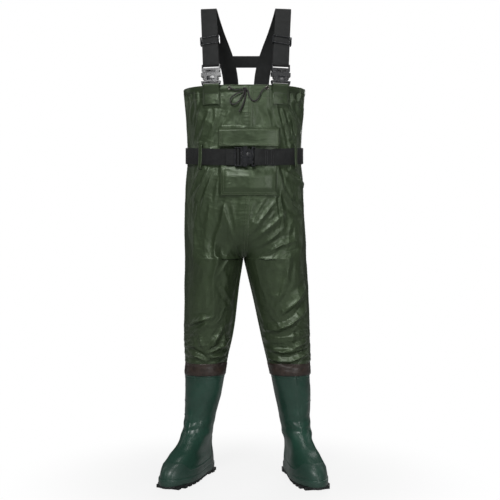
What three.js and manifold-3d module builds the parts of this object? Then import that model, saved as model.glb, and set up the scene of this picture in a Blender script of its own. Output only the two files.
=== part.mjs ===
// Chest waders with moulded boots, in the pose in which they are worn. Millimetres, +Z up, the front faces -Y.
// Heights below are above the ground; the finished group is lowered so that its origin is midway between the
// shoulder straps, where the wearer carries them. "left" is the side at negative X.
import * as THREE from "three";
import Module from "manifold-3d";
import { mergeVertices } from "three/addons/utils/BufferGeometryUtils.js";

const wasm = await Module();
wasm.setup();

// ---- Driving dimensions --------------------------------------------------------------------------

const fabric = 1.6; // coated cloth with its seam allowance
const seamGap = 0.3; // between pieces that are sewn, glued or laid face to face

const shoulderTop = 1487; // underside of the straps on the shoulders, where the wearer carries them
const bibTop = 1224; // height of the bib's top edge
const beltHeight = 1028; // middle of the belt at the side seams
const beltSag = 24; // how much lower the belt hangs at the front
const forkTop = 800; // where the trunk starts to divide
const crotch = 697; // lowest point of the fork
const hipSlope = 0.74; // rise of the groin line over its run towards the outer hip
const thighTop = 652; // below this the leg moves with the thigh
const knee = { height: 491, band: 190 }; // the knee's axis and the cloth that gives there
const bootTop = 331; // the cloth is welded on here
const seamTape = { height: 31, thick: 1.2 };

const webWidth = 50; // belt and shoulder webbing
const webThick = 2;
const crossWeb = { width: 38, height: shoulderTop - 145, reach: 84 }; // webbing between the shoulder straps

const hemHeight = 40; // facing inside the bib's top edge
const facingThick = 1.2;
const cordThick = 4;
const cordDepth = 8; // the cord's line below the bib's top edge
const eyeletAcross = 58; // eyelets stand this far each side of the front seam
const eyelet = { outer: 6.5, hole: 3.3, thick: 1.2 };

const pocket = { x: 9, width: 172, top: 1086, bottom: 888, bulge: 9, slack: 7 };
const flap = { width: 184, top: 1094, bottom: 1036, thick: 1.8, lift: 3 };
const loop = { width: 16, height: webWidth + 28, thick: 1.6 };
const loopPlaces = { front_left: -136, front_right: 149, back_left: -100, back_right: 95 };

const buckle = {
  halfWidth: webWidth / 2 + 5, // the female half's body
  halfThick: 6.5,
  wall: 2.25,
  mouth: 6, // where the halves meet, above the buckle's middle
  window: [-20, -6.5],
  cavityEnd: -22,
  barEnd: -34, // far side of the female half's webbing bar
  maleEnd: 32, // far side of the male half's last bar
  bar: 4,
  barHalfThick: 2,
  slot: 5.5,
  webPlay: 0.7, // beside the webbing in its slot
  clearance: 1.5, // round the prongs
  barb: 1.6,
};
const shoulderBuckle = { x: 106, height: bibTop + 32, forward: buckle.halfThick + 0.5, yaw: 12 };
const beltBuckle = { x: -2.5, standOff: buckle.halfThick + 5.5 };

const slider = { height: bibTop + 144, halfWidth: webWidth / 2 + 5, halfHeight: 14, rail: 3.4, bar: 3.5 };
const strapStraightTo = shoulderTop - 51; // the front run of each strap is straight up to here

// [height, half width, front depth, back depth] of the trunk
const trunkStations = [
  [1224, 193, 118, 122],
  [1121, 185, 121, 112],
  [1045, 181, 119, 104],
  [1000, 181, 118, 105],
  [944, 187, 120, 116],
  [868, 190, 121, 127],
  [766, 195, 117, 130],
  [690, 198, 108, 120],
  [600, 198, 100, 110],
];
const trunkShift = -5; // the trunk's middle stands off the boots' middle
const frontSeamTop = 8; // the centre seam's place at the bib, and at the fork
const frontSeamFork = -8;

// [height, centre x, half width, centre y, half depth] of each leg
const legStations = {
  left: [
    [697, -101, 93, 4, 112],
    [614, -109, 88, 8, 100],
    [563, -112, 85, 11, 94],
    [487, -118, 82, 17, 86],
    [437, -122, 77, 22, 80],
    [386, -127, 70, 29, 73],
    [bootTop, -131, 65, 35, 67],
  ],
  right: [
    [697, 93, 101, 4, 112],
    [614, 106, 94, 8, 100],
    [563, 113, 89, 11, 94],
    [487, 122, 82, 17, 86],
    [437, 128, 77, 22, 80],
    [386, 135, 72, 29, 73],
    [bootTop, 141, 65, 35, 67],
  ],
};

// Boots. The shaft's centre leans outwards on its way down: [height, centre x]
const shaftLean = {
  left: [
    [bootTop, -131],
    [259, -138],
    [202, -146],
    [150, -151],
    [30, -153],
  ],
  right: [
    [bootTop, 141],
    [259, 148],
    [202, 154],
    [150, 159],
    [30, 162],
  ],
};
const shaftCentreY = { top: 35, foot: 46 };
const footTurn = { left: 25, right: 16 }; // degrees outwards
// [height, reach to the heel, reach to the toe, half width] round the shaft's centre
const bootStations = [
  [bootTop, 64, 64, 63],
  [259, 61, 62, 57],
  [202, 57, 60, 50],
  [160, 57, 66, 46],
  [130, 61, 86, 45],
  [105, 67, 120, 45],
  [85, 72, 160, 47],
  [65, 76, 193, 52],
  [48, 79, 208, 54],
  [30, 80, 213, 54],
];
const bootWall = 3.2;
const bootFloor = 36; // top of the boot's inner floor
const insoleThick = 5;
const sole = { heel: 84, toe: 218, top: 29.7, tread: 9, ball: 54, heelHalf: 38 };

// ---- Curves and surfaces -------------------------------------------------------------------------

const clamp = (v, lo = 0, hi = 1) => Math.min(hi, Math.max(lo, v));
const mix = (a, b, t) => a + (b - a) * t;
const smooth = (t) => clamp(t) * clamp(t) * (3 - 2 * clamp(t));
const vec = (x, y, z) => new THREE.Vector3(x, y, z);
const steps = (n) => Array.from({ length: n + 1 }, (_, i) => i / n);
const between = (n, from, to) => steps(n).map((t) => mix(from, to, t));
const radians = THREE.MathUtils.degToRad;

// A smooth curve through rows of [height, values...], as a function of height.
function track(rows) {
  const sorted = [...rows].sort((a, b) => a[0] - b[0]);
  const slope = (i, k) => {
    const a = sorted[Math.max(0, i - 1)];
    const b = sorted[Math.min(sorted.length - 1, i + 1)];
    return (b[k] - a[k]) / (b[0] - a[0]);
  };
  return (height) => {
    const h = clamp(height, sorted[0][0], sorted.at(-1)[0]);
    let i = 0;
    while (i < sorted.length - 2 && h > sorted[i + 1][0]) i++;
    const [p, q] = [sorted[i], sorted[i + 1]];
    const d = q[0] - p[0];
    const t = (h - p[0]) / d;
    return p.slice(1).map((_, n) => {
      const k = n + 1;
      return (
        (2 * t ** 3 - 3 * t ** 2 + 1) * p[k] +
        (t ** 3 - 2 * t ** 2 + t) * d * slope(i, k) +
        (3 * t ** 2 - 2 * t ** 3) * q[k] +
        (t ** 3 - t ** 2) * d * slope(i + 1, k)
      );
    });
  };
}

const beltFront = beltHeight - beltSag;
const power = (v, n) => Math.sign(v) * Math.abs(v) ** n;
const trunkAt = track(trunkStations);
const legAt = { left: track(legStations.left), right: track(legStations.right) };
const squareness = 2 / 2.35; // exponent of the trunk's rounded section
const seamX = (z) => mix(frontSeamFork, frontSeamTop, smooth((z - crotch) / (1100 - crotch)));
const trunkReach = (s, z) => trunkAt(z)[0] + s * (trunkShift - seamX(z));

const sides = ["left", "right"];
const sideSign = { left: -1, right: 1 };

// A point of the garment's outer face. Around each side, u runs from the front seam (0) over the side seam
// (0.5) to the back seam (1), and down the leg from the inseam round the front, the side and the back.
function garmentPoint(side, u, z) {
  const s = sideSign[side];
  const [, front, back] = trunkAt(z);
  const angle = Math.PI * (0.5 - u);
  const trunk = [
    seamX(z) + s * trunkReach(s, z) * power(Math.cos(angle), squareness),
    -(u < 0.5 ? front : back) * power(Math.sin(angle), squareness),
  ];
  const [cx, a, cy, b] = legAt[side](Math.min(z, crotch));
  const turn = 2 * Math.PI * u;
  const leg = [cx - s * a * Math.cos(turn), cy - b * Math.sin(turn)];
  const drop = clamp((forkTop - z) / (forkTop - crotch));
  const atSeam = 1 - Math.sqrt(1 - drop * drop);
  const atSide = smooth((forkTop + 60 - z) / 220);
  const share = mix(atSide, atSeam, Math.abs(Math.cos(Math.PI * u)) ** 3);
  const x = mix(trunk[0], leg[0], share) + (s * seamGap) / 2;
  return vec(x, mix(trunk[1], leg[1], share), z);
}

// The level normal of that face, pointing out.
function garmentNormal(side, u, z) {
  const e = 0.004;
  const s = sideSign[side];
  const from = garmentPoint(side, Math.max(0.0001, u - e), z);
  const du = garmentPoint(side, Math.min(0.9999, u + e), z).sub(from);
  const n = vec(-du.y * -s, du.x * -s, 0).normalize();
  if ((u < e || u > 1 - e) && z > crotch + 6) n.setX(0).normalize();
  return n;
}

// The face moved out level, so that the edges of pieces stay in their planes.
const garmentOffset = (side, u, z, out) =>
  garmentPoint(side, u, z).addScaledVector(garmentNormal(side, u, z), out);

// All the way round the trunk: w runs from the front seam over the left side, the back and the right side.
const around = (w, z, out) =>
  w < 0.5 ? garmentOffset("left", 2 * w, z, out) : garmentOffset("right", 2 - 2 * w, z, out);

// u at a place across the front of the trunk, and the height of the face there.
function acrossAt(x, z) {
  const s = x < seamX(z) ? -1 : 1;
  const c = Math.min(1, Math.abs(x - seamX(z)) / trunkReach(s, z)) ** (1 / squareness);
  return { s, u: 0.5 - Math.acos(c) / Math.PI, rise: Math.sqrt(1 - c * c) ** squareness };
}
const frontY = (x, z) => -trunkAt(z)[1] * acrossAt(x, z).rise;
const backY = (x, z) => trunkAt(z)[2] * acrossAt(x, z).rise;
const onFront = (x, z, out) => vec(x, frontY(x, z) - out, z);
const onBack = (x, z, out) => vec(x, backY(x, z) + out, z);

// ---- Solids --------------------------------------------------------------------------------------

function geometryOf(positions, faces) {
  const g = new THREE.BufferGeometry();
  const xyz = positions.flatMap((p) => [p.x, p.y, p.z]);
  g.setAttribute("position", new THREE.Float32BufferAttribute(xyz, 3));
  g.setIndex(faces.flat());
  return g;
}

// Turns a closed geometry so that its faces point out.
function outwards(g) {
  const p = g.getAttribute("position");
  const index = g.index.array;
  let volume = 0;
  const [a, b, c] = [vec(), vec(), vec()];
  for (let i = 0; i < index.length; i += 3) {
    a.fromBufferAttribute(p, index[i]);
    b.fromBufferAttribute(p, index[i + 1]);
    c.fromBufferAttribute(p, index[i + 2]);
    volume += a.dot(b.cross(c));
  }
  if (volume < 0)
    for (let i = 0; i < index.length; i += 3)
      [index[i + 1], index[i + 2]] = [index[i + 2], index[i + 1]];
  return g;
}

// A closed shell between two faces, each a function of u (across) and v (along).
function shell(across, along, outer, inner, ring = false) {
  const cols = ring ? across.slice(0, -1) : across;
  const [nc, nr] = [cols.length, along.length];
  const positions = [outer, inner].flatMap((face) =>
    along.flatMap((v) => cols.map((u) => face(u, v))),
  );
  const at = (layer, r, c) => layer * nc * nr + r * nc + (c % nc);
  const faces = [];
  const quad = (a, b, c, d) => faces.push([a, b, c], [a, c, d]);
  const last = ring ? nc : nc - 1;
  for (let r = 0; r < nr - 1; r++)
    for (let c = 0; c < last; c++) {
      quad(at(0, r, c), at(0, r, c + 1), at(0, r + 1, c + 1), at(0, r + 1, c));
      quad(at(1, r, c), at(1, r + 1, c), at(1, r + 1, c + 1), at(1, r, c + 1));
    }
  for (let c = 0; c < last; c++) {
    quad(at(0, 0, c), at(1, 0, c), at(1, 0, c + 1), at(0, 0, c + 1));
    quad(at(0, nr - 1, c), at(0, nr - 1, c + 1), at(1, nr - 1, c + 1), at(1, nr - 1, c));
  }
  if (!ring)
    for (let r = 0; r < nr - 1; r++) {
      quad(at(0, r, 0), at(0, r + 1, 0), at(1, r + 1, 0), at(1, r, 0));
      quad(at(0, r, nc - 1), at(1, r, nc - 1), at(1, r + 1, nc - 1), at(0, r + 1, nc - 1));
    }
  return outwards(geometryOf(positions, faces));
}

// A solid through rings of points, one above another, closed by a flat cap at each end.
function loft(rings) {
  const n = rings[0].length;
  const positions = rings.flat();
  const faces = [];
  for (let r = 0; r < rings.length - 1; r++)
    for (let i = 0; i < n; i++) {
      const [a, b] = [r * n + i, r * n + ((i + 1) % n)];
      faces.push([a, b, b + n], [a, b + n, a + n]);
    }
  const top = (rings.length - 1) * n;
  for (let i = 1; i < n - 1; i++) faces.push([0, i + 1, i], [top, top + i, top + i + 1]);
  return outwards(geometryOf(positions, faces));
}

// Webbing along points, flat across its width; across is the direction of that width at each point.
function ribbon(points, across, width, thick) {
  const rows = points.map((p, i) => {
    const ahead = points[Math.min(i + 1, points.length - 1)];
    const along = ahead.clone().sub(points[Math.max(i - 1, 0)]).normalize();
    const w = (Array.isArray(across) ? across[i] : across).clone();
    w.addScaledVector(along, -w.dot(along)).normalize();
    return { p, w, n: along.clone().cross(w) };
  });
  const face = (way) => (u, i) => {
    const { p, w, n } = rows[i];
    return p.clone().addScaledVector(w, (u - 0.5) * width).addScaledVector(n, (way * thick) / 2);
  };
  return shell([0, 1], [...rows.keys()], face(1), face(-1));
}

// A round tube along points, closed at both ends.
function tube(points, diameter, count) {
  const turn = (t) => vec2(Math.cos(2 * Math.PI * t), Math.sin(2 * Math.PI * t));
  const section = new THREE.Shape(steps(8).slice(1).map((t) => turn(t).multiplyScalar(diameter / 2)));
  const extrudePath = new THREE.CatmullRomCurve3(points, false, "centripetal");
  return new THREE.ExtrudeGeometry(section, { steps: count, extrudePath, bevelEnabled: false });
}

const vec2 = (x, y) => new THREE.Vector2(x, y);
const box = (x0, x1, y0, y1, z0, z1) =>
  new THREE.BoxGeometry(x1 - x0, y1 - y0, z1 - z0).translate(
    (x0 + x1) / 2,
    (y0 + y1) / 2,
    (z0 + z1) / 2,
  );

// A plate of constant thickness: an outline of [x, z], from y = front to y = back.
function plate(outline, front, back) {
  const shape = new THREE.Shape(outline.map(([x, z]) => vec2(x, z)));
  return new THREE.ExtrudeGeometry(shape, { depth: back - front, bevelEnabled: false })
    .rotateX(Math.PI / 2)
    .translate(0, back, 0);
}

function solid(geometry) {
  const bare = geometry.index ? geometry.toNonIndexed() : geometry;
  const merged = mergeVertices(
    new THREE.BufferGeometry().setAttribute("position", bare.getAttribute("position")),
    1e-3,
  );
  return new wasm.Manifold(
    new wasm.Mesh({
      numProp: 3,
      vertProperties: new Float32Array(merged.getAttribute("position").array),
      triVerts: new Uint32Array(merged.index.array),
    }),
  );
}

function geometryFrom(manifold) {
  const m = manifold.getMesh();
  const g = new THREE.BufferGeometry();
  const xyz = new Float32Array(m.numVert * 3);
  for (let i = 0; i < m.numVert; i++)
    xyz.set(m.vertProperties.subarray(i * m.numProp, i * m.numProp + 3), i * 3);
  g.setAttribute("position", new THREE.BufferAttribute(xyz, 3));
  g.setIndex(new THREE.BufferAttribute(new Uint32Array(m.triVerts), 1));
  return g;
}

const joined = (parts) => geometryFrom(parts.map(solid).reduce((all, next) => all.add(next)));
const cut = (from, tools) =>
  geometryFrom(tools.map(solid).reduce((left, tool) => left.subtract(tool), solid(from)));

// ---- Materials and the group ---------------------------------------------------------------------

const finish = (color, roughness, metalness = 0) =>
  new THREE.MeshStandardMaterial({ color, roughness, metalness });
const materials = {
  cloth: finish(0x46523f, 0.45),
  clothDark: finish(0x3a4433, 0.5),
  webbing: finish(0x24272a, 0.85),
  plastic: finish(0x2c2f31, 0.4),
  cord: finish(0x2a2326, 0.8),
  metal: finish(0x8c8d8a, 0.3, 1),
  tape: finish(0x3a2e28, 0.7),
  boot: finish(0x2f5a4b, 0.35),
  sole: finish(0x1d2422, 0.6),
  insole: finish(0x55504a, 0.9),
};

// The wearer's shoulders carry the straps, so the origin is there, and the boots stand below it.
const worn = new THREE.Group();
worn.position.z = -shoulderTop;

function add(name, geometry, material, place) {
  const mesh = new THREE.Mesh(geometry, materials[material]);
  mesh.name = name;
  if (place) mesh.applyMatrix4(place);
  worn.add(mesh);
}

// ---- Trunk and legs ------------------------------------------------------------------------------

// Height of the groin line at u: the trunk's cloth ends there and the cloth that gives at the hip begins.
function hipLine(side, u) {
  let z = crotch;
  for (let i = 0; i < 8; i++) {
    const run = Math.abs(garmentPoint(side, u, z).x - frontSeamFork) - seamGap / 2;
    z = crotch + hipSlope * Math.max(0, run);
  }
  return z;
}

// The fork's cloth lies nearly level, so its two edges stand further apart there.
const groinGap = (u) => seamGap + 1.4 * Math.abs(Math.cos(Math.PI * u)) ** 6;

function panel(side, from, to) {
  const height = (u, v) => mix(bibTop, hipLine(side, u) + groinGap(u), v);
  const rows = steps(13).map((t) => 1 - (1 - t) ** 1.25); // closer together towards the fork
  return shell(
    between(10, from, to),
    rows,
    (u, v) => garmentOffset(side, u, height(u, v), 0),
    (u, v) => garmentOffset(side, u, height(u, v), -fabric),
  );
}

function legTube(side, top, bottom, rows, out = 0, wall = fabric) {
  const height = (u, v) => mix(typeof top === "number" ? top : top(u), bottom, v);
  return shell(
    steps(20),
    steps(rows),
    (u, v) => garmentOffset(side, u, height(u, v), out),
    (u, v) => garmentOffset(side, u, height(u, v), out - wall),
    true,
  );
}

const sideSeam = 0.0004; // half of the side seam's gap as a share of the way round
const cordLine = bibTop - cordDepth;
const eyeletX = (s) => frontSeamTop + s * eyeletAcross;

for (const side of sides) {
  const x = eyeletX(sideSign[side]);
  const hole = new THREE.CylinderGeometry(eyelet.hole, eyelet.hole, 30, 12)
    .translate(x, frontY(x, cordLine), cordLine);
  add(`${side}_front_panel`, cut(panel(side, 0, 0.5 - sideSeam), [hole]), "cloth");
  add(`${side}_back_panel`, panel(side, 0.5 + sideSeam, 1), "cloth");

  const kneeTop = knee.height + knee.band / 2;
  const kneeBottom = knee.height - knee.band / 2;
  add(`${side}_hip_cloth`, legTube(side, (u) => hipLine(side, u), thighTop, 5), "cloth");
  add(`${side}_thigh`, legTube(side, thighTop - seamGap, kneeTop, 1), "cloth");
  add(`${side}_knee_cloth`, legTube(side, kneeTop - seamGap, kneeBottom, 5), "cloth");
  add(`${side}_shin`, legTube(side, kneeBottom - seamGap, bootTop + seamGap, 2), "cloth");
  const tapeTop = bootTop + seamTape.height;
  const tapeOut = seamGap + seamTape.thick;
  add(`${side}_boot_tape`, legTube(side, tapeTop, bootTop, 1, tapeOut, seamTape.thick), "tape");
}

// ---- Bib hem, drawcord -----------------------------------------------------------------------------

// The facing stands off the bib round the cord and lies on it above and below.
function hemFacing() {
  const near = fabric + seamGap;
  const far = near + cordThick + 1.6;
  const profile = [
    [1, near],
    [cordDepth - 5.5, far],
    [cordDepth + 5.5, far],
    [cordDepth + 10, near],
    [hemHeight, near],
  ];
  const face = (extra) => (w, i) => around(w, bibTop - profile[i][0], -profile[i][1] - extra);
  return shell(steps(40), [...profile.keys()], face(0), face(facingThick), true);
}
add("hem_facing", hemFacing(), "clothDark");

function cordRing() {
  const inside = fabric + seamGap + 0.8 + cordThick / 2;
  const left = acrossAt(eyeletX(-1) - 4, cordLine).u / 2;
  const right = 1 - acrossAt(eyeletX(1) + 4, cordLine).u / 2;
  const points = between(36, left, right).map((w) => around(w, cordLine, -inside));
  return tube(points, cordThick, 46);
}
add("drawcord_ring", cordRing(), "cord");

// Each end of the cord comes out of its eyelet and goes to the knot.
const knot = { x: -3, height: 1209, out: 6 };
const cordOut = (x, z, out = 4.5) => onFront(x, z, out);
const cordRuns = {
  left_run: [
    cordOut(eyeletX(-1), cordLine, -3.4),
    cordOut(eyeletX(-1), cordLine, 2.5),
    cordOut(-44, 1212, 5),
    cordOut(-30, 1208),
    cordOut(-11, 1210, 5.5),
  ],
  right_run: [
    cordOut(5, 1208, 5.5),
    cordOut(13, 1188),
    cordOut(22, 1175),
    cordOut(34, 1184),
    cordOut(48, 1206),
    cordOut(61, 1213, 5),
    cordOut(eyeletX(1), cordLine, 2.5),
    cordOut(eyeletX(1), cordLine, -3.4),
  ],
  loop: [
    cordOut(-9.0, 1203.3, 6),
    cordOut(-24, 1194, 5.5),
    cordOut(-40, 1182),
    cordOut(-42, 1175),
    cordOut(-33, 1175),
    cordOut(-17, 1185, 5),
    cordOut(-4.9, 1199.6, 6),
  ],
  tail: [cordOut(0, 1199.9, 6), cordOut(-3, 1182), cordOut(-10, 1160), cordOut(-20, 1142)],
};
for (const [name, points] of Object.entries(cordRuns))
  add(`drawcord_${name}`, tube(points, cordThick, 3 * points.length), "cord");
add(
  "drawcord_knot",
  new THREE.SphereGeometry(1, 10, 8).scale(6, 4.6, 9),
  "cord",
  new THREE.Matrix4().setPosition(onFront(knot.x, knot.height, knot.out)),
);

for (const side of sides) {
  const x = eyeletX(sideSign[side]);
  const slope = Math.atan2(frontY(x + 1, cordLine) - frontY(x - 1, cordLine), 2);
  const ring = new THREE.LatheGeometry(
    [
      vec2(eyelet.hole, 0),
      vec2(eyelet.outer, 0),
      vec2(eyelet.outer - 0.5, eyelet.thick),
      vec2(eyelet.hole, eyelet.thick),
      vec2(eyelet.hole, 0),
    ],
    16,
  ).rotateX(Math.PI);
  const place = new THREE.Matrix4().makeRotationZ(slope);
  add(`${side}_eyelet`, ring, "metal", place.setPosition(onFront(x, cordLine, seamGap + 0.3)));
}

// ---- Pocket ----------------------------------------------------------------------------------------

// How far the pouch stands off the bib: sewn down at its sides and foot, slack at its mouth, and pressed
// flat where the belt crosses it.
function pouchLift(x, z) {
  const across = clamp(1 - Math.abs((2 * (x - pocket.x)) / pocket.width) ** 6);
  const mouth = pocket.bulge * smooth((z - beltFront - webWidth / 2 - 8) / 26);
  const below = pocket.slack * smooth((beltFront - webWidth / 2 - 6 - z) / 30);
  const foot = smooth((z - pocket.bottom) / 25);
  return seamGap + 0.3 + across * foot * (mouth + below);
}

function pocketPouch() {
  const x = (u) => pocket.x + (u - 0.5) * pocket.width;
  const z = (v) => mix(pocket.top, pocket.bottom, v);
  return shell(
    steps(10),
    steps(22),
    (u, v) => onFront(x(u), z(v), pouchLift(x(u), z(v)) + fabric),
    (u, v) => onFront(x(u), z(v), pouchLift(x(u), z(v))),
  );
}
add("pocket_pouch", pocketPouch(), "cloth");

function pocketFlap() {
  const x = (u) => pocket.x + (u - 0.5) * flap.width;
  const z = (v) => mix(flap.top, flap.bottom, v);
  const over = pouchLift(pocket.x, pocket.top) + fabric + flap.lift;
  const out = (v) => mix(seamGap + 0.3, over, smooth((flap.top - z(v)) / 9));
  return shell(
    steps(14),
    [0, 0.07, 0.16, 0.4, 0.7, 1],
    (u, v) => onFront(x(u), z(v), out(v) + flap.thick),
    (u, v) => onFront(x(u), z(v), out(v)),
  );
}
add("pocket_flap", pocketFlap(), "cloth");

// ---- Side-release buckles --------------------------------------------------------------------------
// In a buckle's own frame +Z is the way the male half pulls out and -Y faces the front.

const cavity = buckle.halfWidth - 6;
const prongOut = cavity - buckle.clearance;
const prongWidth = 7;
const prongHalfThick = buckle.halfThick - buckle.wall - buckle.clearance;
const malePlay = 0.6; // between the two halves' faces
const slotHalf = webWidth / 2 + buckle.webPlay;

function femaleBuckle() {
  const { halfWidth: w, halfThick: t, mouth, cavityEnd, barEnd, bar, slot } = buckle;
  const bodyEnd = barEnd + bar + slot;
  const outline = [
    [-w, mouth],
    [-w, bodyEnd + 4],
    [-w + 2, barEnd + 2],
    [-w + 4, barEnd],
    [w - 4, barEnd],
    [w - 2, barEnd + 2],
    [w, bodyEnd + 4],
    [w, mouth],
  ];
  const [low, high] = buckle.window;
  return cut(plate(outline, -t, t), [
    box(-cavity, cavity, -t + buckle.wall, t - buckle.wall, cavityEnd, mouth + 1),
    box(-w - 1, -cavity + 3, -t - 1, t + 1, low, high),
    box(cavity - 3, w + 1, -t - 1, t + 1, low, high),
    box(-slotHalf, slotHalf, -t - 1, t + 1, barEnd + bar, bodyEnd),
    box(-w - 1, w + 1, -t - 1, -buckle.barHalfThick, barEnd - 1, barEnd + bar),
    box(-w - 1, w + 1, buckle.barHalfThick, t + 1, barEnd - 1, barEnd + bar),
  ]);
}

function maleBuckle(slots) {
  const { halfThick: t, mouth, maleEnd, bar, cavityEnd, barHalfThick } = buckle;
  const w = buckle.halfWidth - 1.5;
  const base = mouth + malePlay;
  const frameStart = maleEnd - slots.depth;
  const outline = [
    [-w + 3, base],
    [-w, base + 4],
    [-w, maleEnd - 2],
    [-w + 2, maleEnd],
    [w - 2, maleEnd],
    [w, maleEnd - 2],
    [w, base + 4],
    [w - 3, base],
  ];
  const guideEnd = cavityEnd + 3;
  const body = joined([
    plate(outline, -t + 1, t - 1),
    box(-4, 4, -prongHalfThick, prongHalfThick, guideEnd, base + 1),
  ]);
  const openings = slots.at.map(([low, high]) => box(-slotHalf, slotHalf, -t, t, low, high));
  return cut(body, [
    ...openings,
    box(-slotHalf, slotHalf, -t, -barHalfThick, frameStart, maleEnd + 1),
    box(-slotHalf, slotHalf, barHalfThick, t, frameStart, maleEnd + 1),
  ]);
}

// A springy arm with a barb that catches behind the window; s is the side of the buckle it stands on.
function buckleProng(s) {
  const top = buckle.mouth + malePlay - seamGap;
  const tip = buckle.cavityEnd + 2.5;
  const catchZ = buckle.window[1] - 0.6;
  const out = cavity + buckle.barb;
  const outline = [
    [prongOut - prongWidth, top],
    [prongOut - prongWidth, tip + 3],
    [prongOut - prongWidth + 2, tip],
    [prongOut - 2, tip],
    [out, tip + 6],
    [out, catchZ],
    [prongOut, catchZ],
    [prongOut, top],
  ].map(([x, z]) => [s * x, z]);
  return plate(outline, -prongHalfThick, prongHalfThick);
}

// Webbing slots of the male halves, in the buckle's frame.
const lastBar = buckle.maleEnd - buckle.bar;
const oneSlot = { depth: 12, at: [[buckle.maleEnd - 12, lastBar]] };
const ladder = {
  depth: 18,
  at: [
    [buckle.maleEnd - 18, buckle.maleEnd - 12.6],
    [buckle.maleEnd - 9.6, lastBar],
  ],
};

// ---- Shoulder straps -------------------------------------------------------------------------------

// The straps fold back about this line, where they leave the back panels.
const foldLine = {
  y: backY(50, bibTop) + seamGap + 0.3 + webThick + 0.3,
  z: bibTop,
};
const anchorOut = seamGap + 0.3 + webThick / 2;

function shoulderPlace(s) {
  const y = frontY(s * shoulderBuckle.x, bibTop) - shoulderBuckle.forward;
  const prongMiddle = shoulderBuckle.height + (buckle.cavityEnd + buckle.mouth) / 2;
  const lean = Math.atan2(prongMiddle - foldLine.z, foldLine.y - y);
  return new THREE.Matrix4()
    .makeRotationX(-lean)
    .multiply(new THREE.Matrix4().makeRotationZ(s * radians(shoulderBuckle.yaw)))
    .setPosition(s * shoulderBuckle.x, y, shoulderBuckle.height);
}

// The fabric loop that holds the female half: sewn to the bib, through the buckle's bar and back.
function buckleTab(s, place) {
  const barZ = buckle.barEnd + buckle.bar / 2;
  const radius = buckle.barHalfThick + 1.4 + fabric / 2;
  const patch = [58, 39, 21].map((below) => bibTop - below);
  const turns = [-25, 20, 60, 100, 140, 180, 205].map(radians);
  const rows = [
    ...patch.map((z) => (across) => onFront(s * shoulderBuckle.x + across, z, 0.8 + fabric / 2)),
    ...turns.map((a) => (across) =>
      vec(across, radius * Math.cos(a), barZ + radius * Math.sin(a)).applyMatrix4(place),
    ),
    ...[...patch].reverse().map((z) => (across) =>
      onFront(s * shoulderBuckle.x + across, z, 1.5 + 1.5 * fabric),
    ),
  ];
  return sheet(4, rows, webWidth, fabric);
}

// A sheet whose rows give its middle surface at a place across it.
function sheet(columns, rows, width, thick) {
  const point = (u, i) => rows[clamp(i, 0, rows.length - 1)]((u - 0.5) * width);
  const face = (way) => (u, i) => {
    const along = point(u, i + 1).sub(point(u, i - 1));
    const over = point(Math.min(1, u + 0.05), i).sub(point(Math.max(0, u - 0.05), i));
    return point(u, i).addScaledVector(over.cross(along).normalize(), (way * thick) / 2);
  };
  return shell(steps(columns), [...rows.keys()], face(1), face(-1));
}

// Centre line of a strap from its fold line over the shoulder to the straight front run.
function overShoulder(s, front) {
  const back = [
    vec(50, foldLine.y - 0.3 - webThick / 2, bibTop + 1.2),
    vec(50, 118, bibTop + 38),
    vec(54, 115.5, bibTop + 76),
    vec(62, 111, shoulderTop - 151),
    vec(76, 101, shoulderTop - 111),
    vec(94, 80, shoulderTop - 67),
    vec(109, 49, shoulderTop - 25),
    vec(117, 10, shoulderTop - 1),
    vec(117.5, -22, shoulderTop - 11),
  ].map((p) => p.setX(s * p.x));
  const curve = new THREE.CatmullRomCurve3([...back, ...front], false, "centripetal");
  return curve.getPoints(30);
}

function shoulderStrap(s, place) {
  const barZ = buckle.maleEnd - buckle.bar / 2;
  const radius = buckle.barHalfThick + 1.35 + webThick / 2;
  const bar = (a) => vec(0, radius * Math.cos(a), barZ + radius * Math.sin(a));
  const round = [180, 205, 235, 270, 300, 325, 345].map((a) => bar(radians(a)).applyMatrix4(place));
  const run = straightRun(s, place);
  const line = [...overShoulder(s, [run.top]), run.foot, ...round];
  const across = line.map((p) => levelAcross(s, smooth((60 - p.y) / 100)));
  return ribbon(line, across, webWidth, webThick);
}

// The level direction across a strap; it turns outwards from the back to the front.
function levelAcross(s, share = 1) {
  const yaw = share * radians(shoulderBuckle.yaw);
  return vec(Math.cos(yaw), s * Math.sin(yaw), 0);
}

// The straight front run of a strap, from just above the male half's bar.
function straightRun(s, place) {
  const radius = buckle.barHalfThick + 1.35 + webThick / 2;
  const foot = vec(0, -radius, buckle.maleEnd + 1).applyMatrix4(place);
  const top = vec(s * 115, -52, strapStraightTo);
  return { foot, top, way: top.clone().sub(foot).normalize() };
}

// The strap's end runs back up behind the front run, from the male half's bar to the slider's middle bar.
function returnLayer(place, sliderMatrix) {
  const radius = buckle.barHalfThick + 1.35 + webThick / 2;
  const foot = vec(0, radius, buckle.maleEnd - buckle.bar / 2 + 3).applyMatrix4(place);
  const hook = [
    [8.9, -4],
    [8.9, 1],
    [7.4, 3.4],
    [5.4, 4.1],
    [3.4, 3],
    [2.7, 0.5],
    [2.7, -4],
  ].map(([y, z]) => vec(0, y, z).applyMatrix4(sliderMatrix));
  const line = [foot, foot.clone().lerp(hook[0], 0.35), foot.clone().lerp(hook[0], 0.7), ...hook];
  const across = vec().setFromMatrixColumn(sliderMatrix, 0);
  return ribbon(line, across, webWidth, webThick);
}

// The slider's own +Z runs up the strap and its -Y faces the front. Its outer bars pass in front of the
// strap and its middle bar behind it.
function sliderPlace(s, run) {
  const z = run.way;
  const level = levelAcross(s);
  const x = level.addScaledVector(z, -z.dot(level)).normalize();
  const y = z.clone().cross(x);
  const t = (slider.height - run.foot.z) / z.z;
  return new THREE.Matrix4()
    .makeBasis(x, y, z)
    .setPosition(run.foot.clone().addScaledVector(z, t));
}

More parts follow.
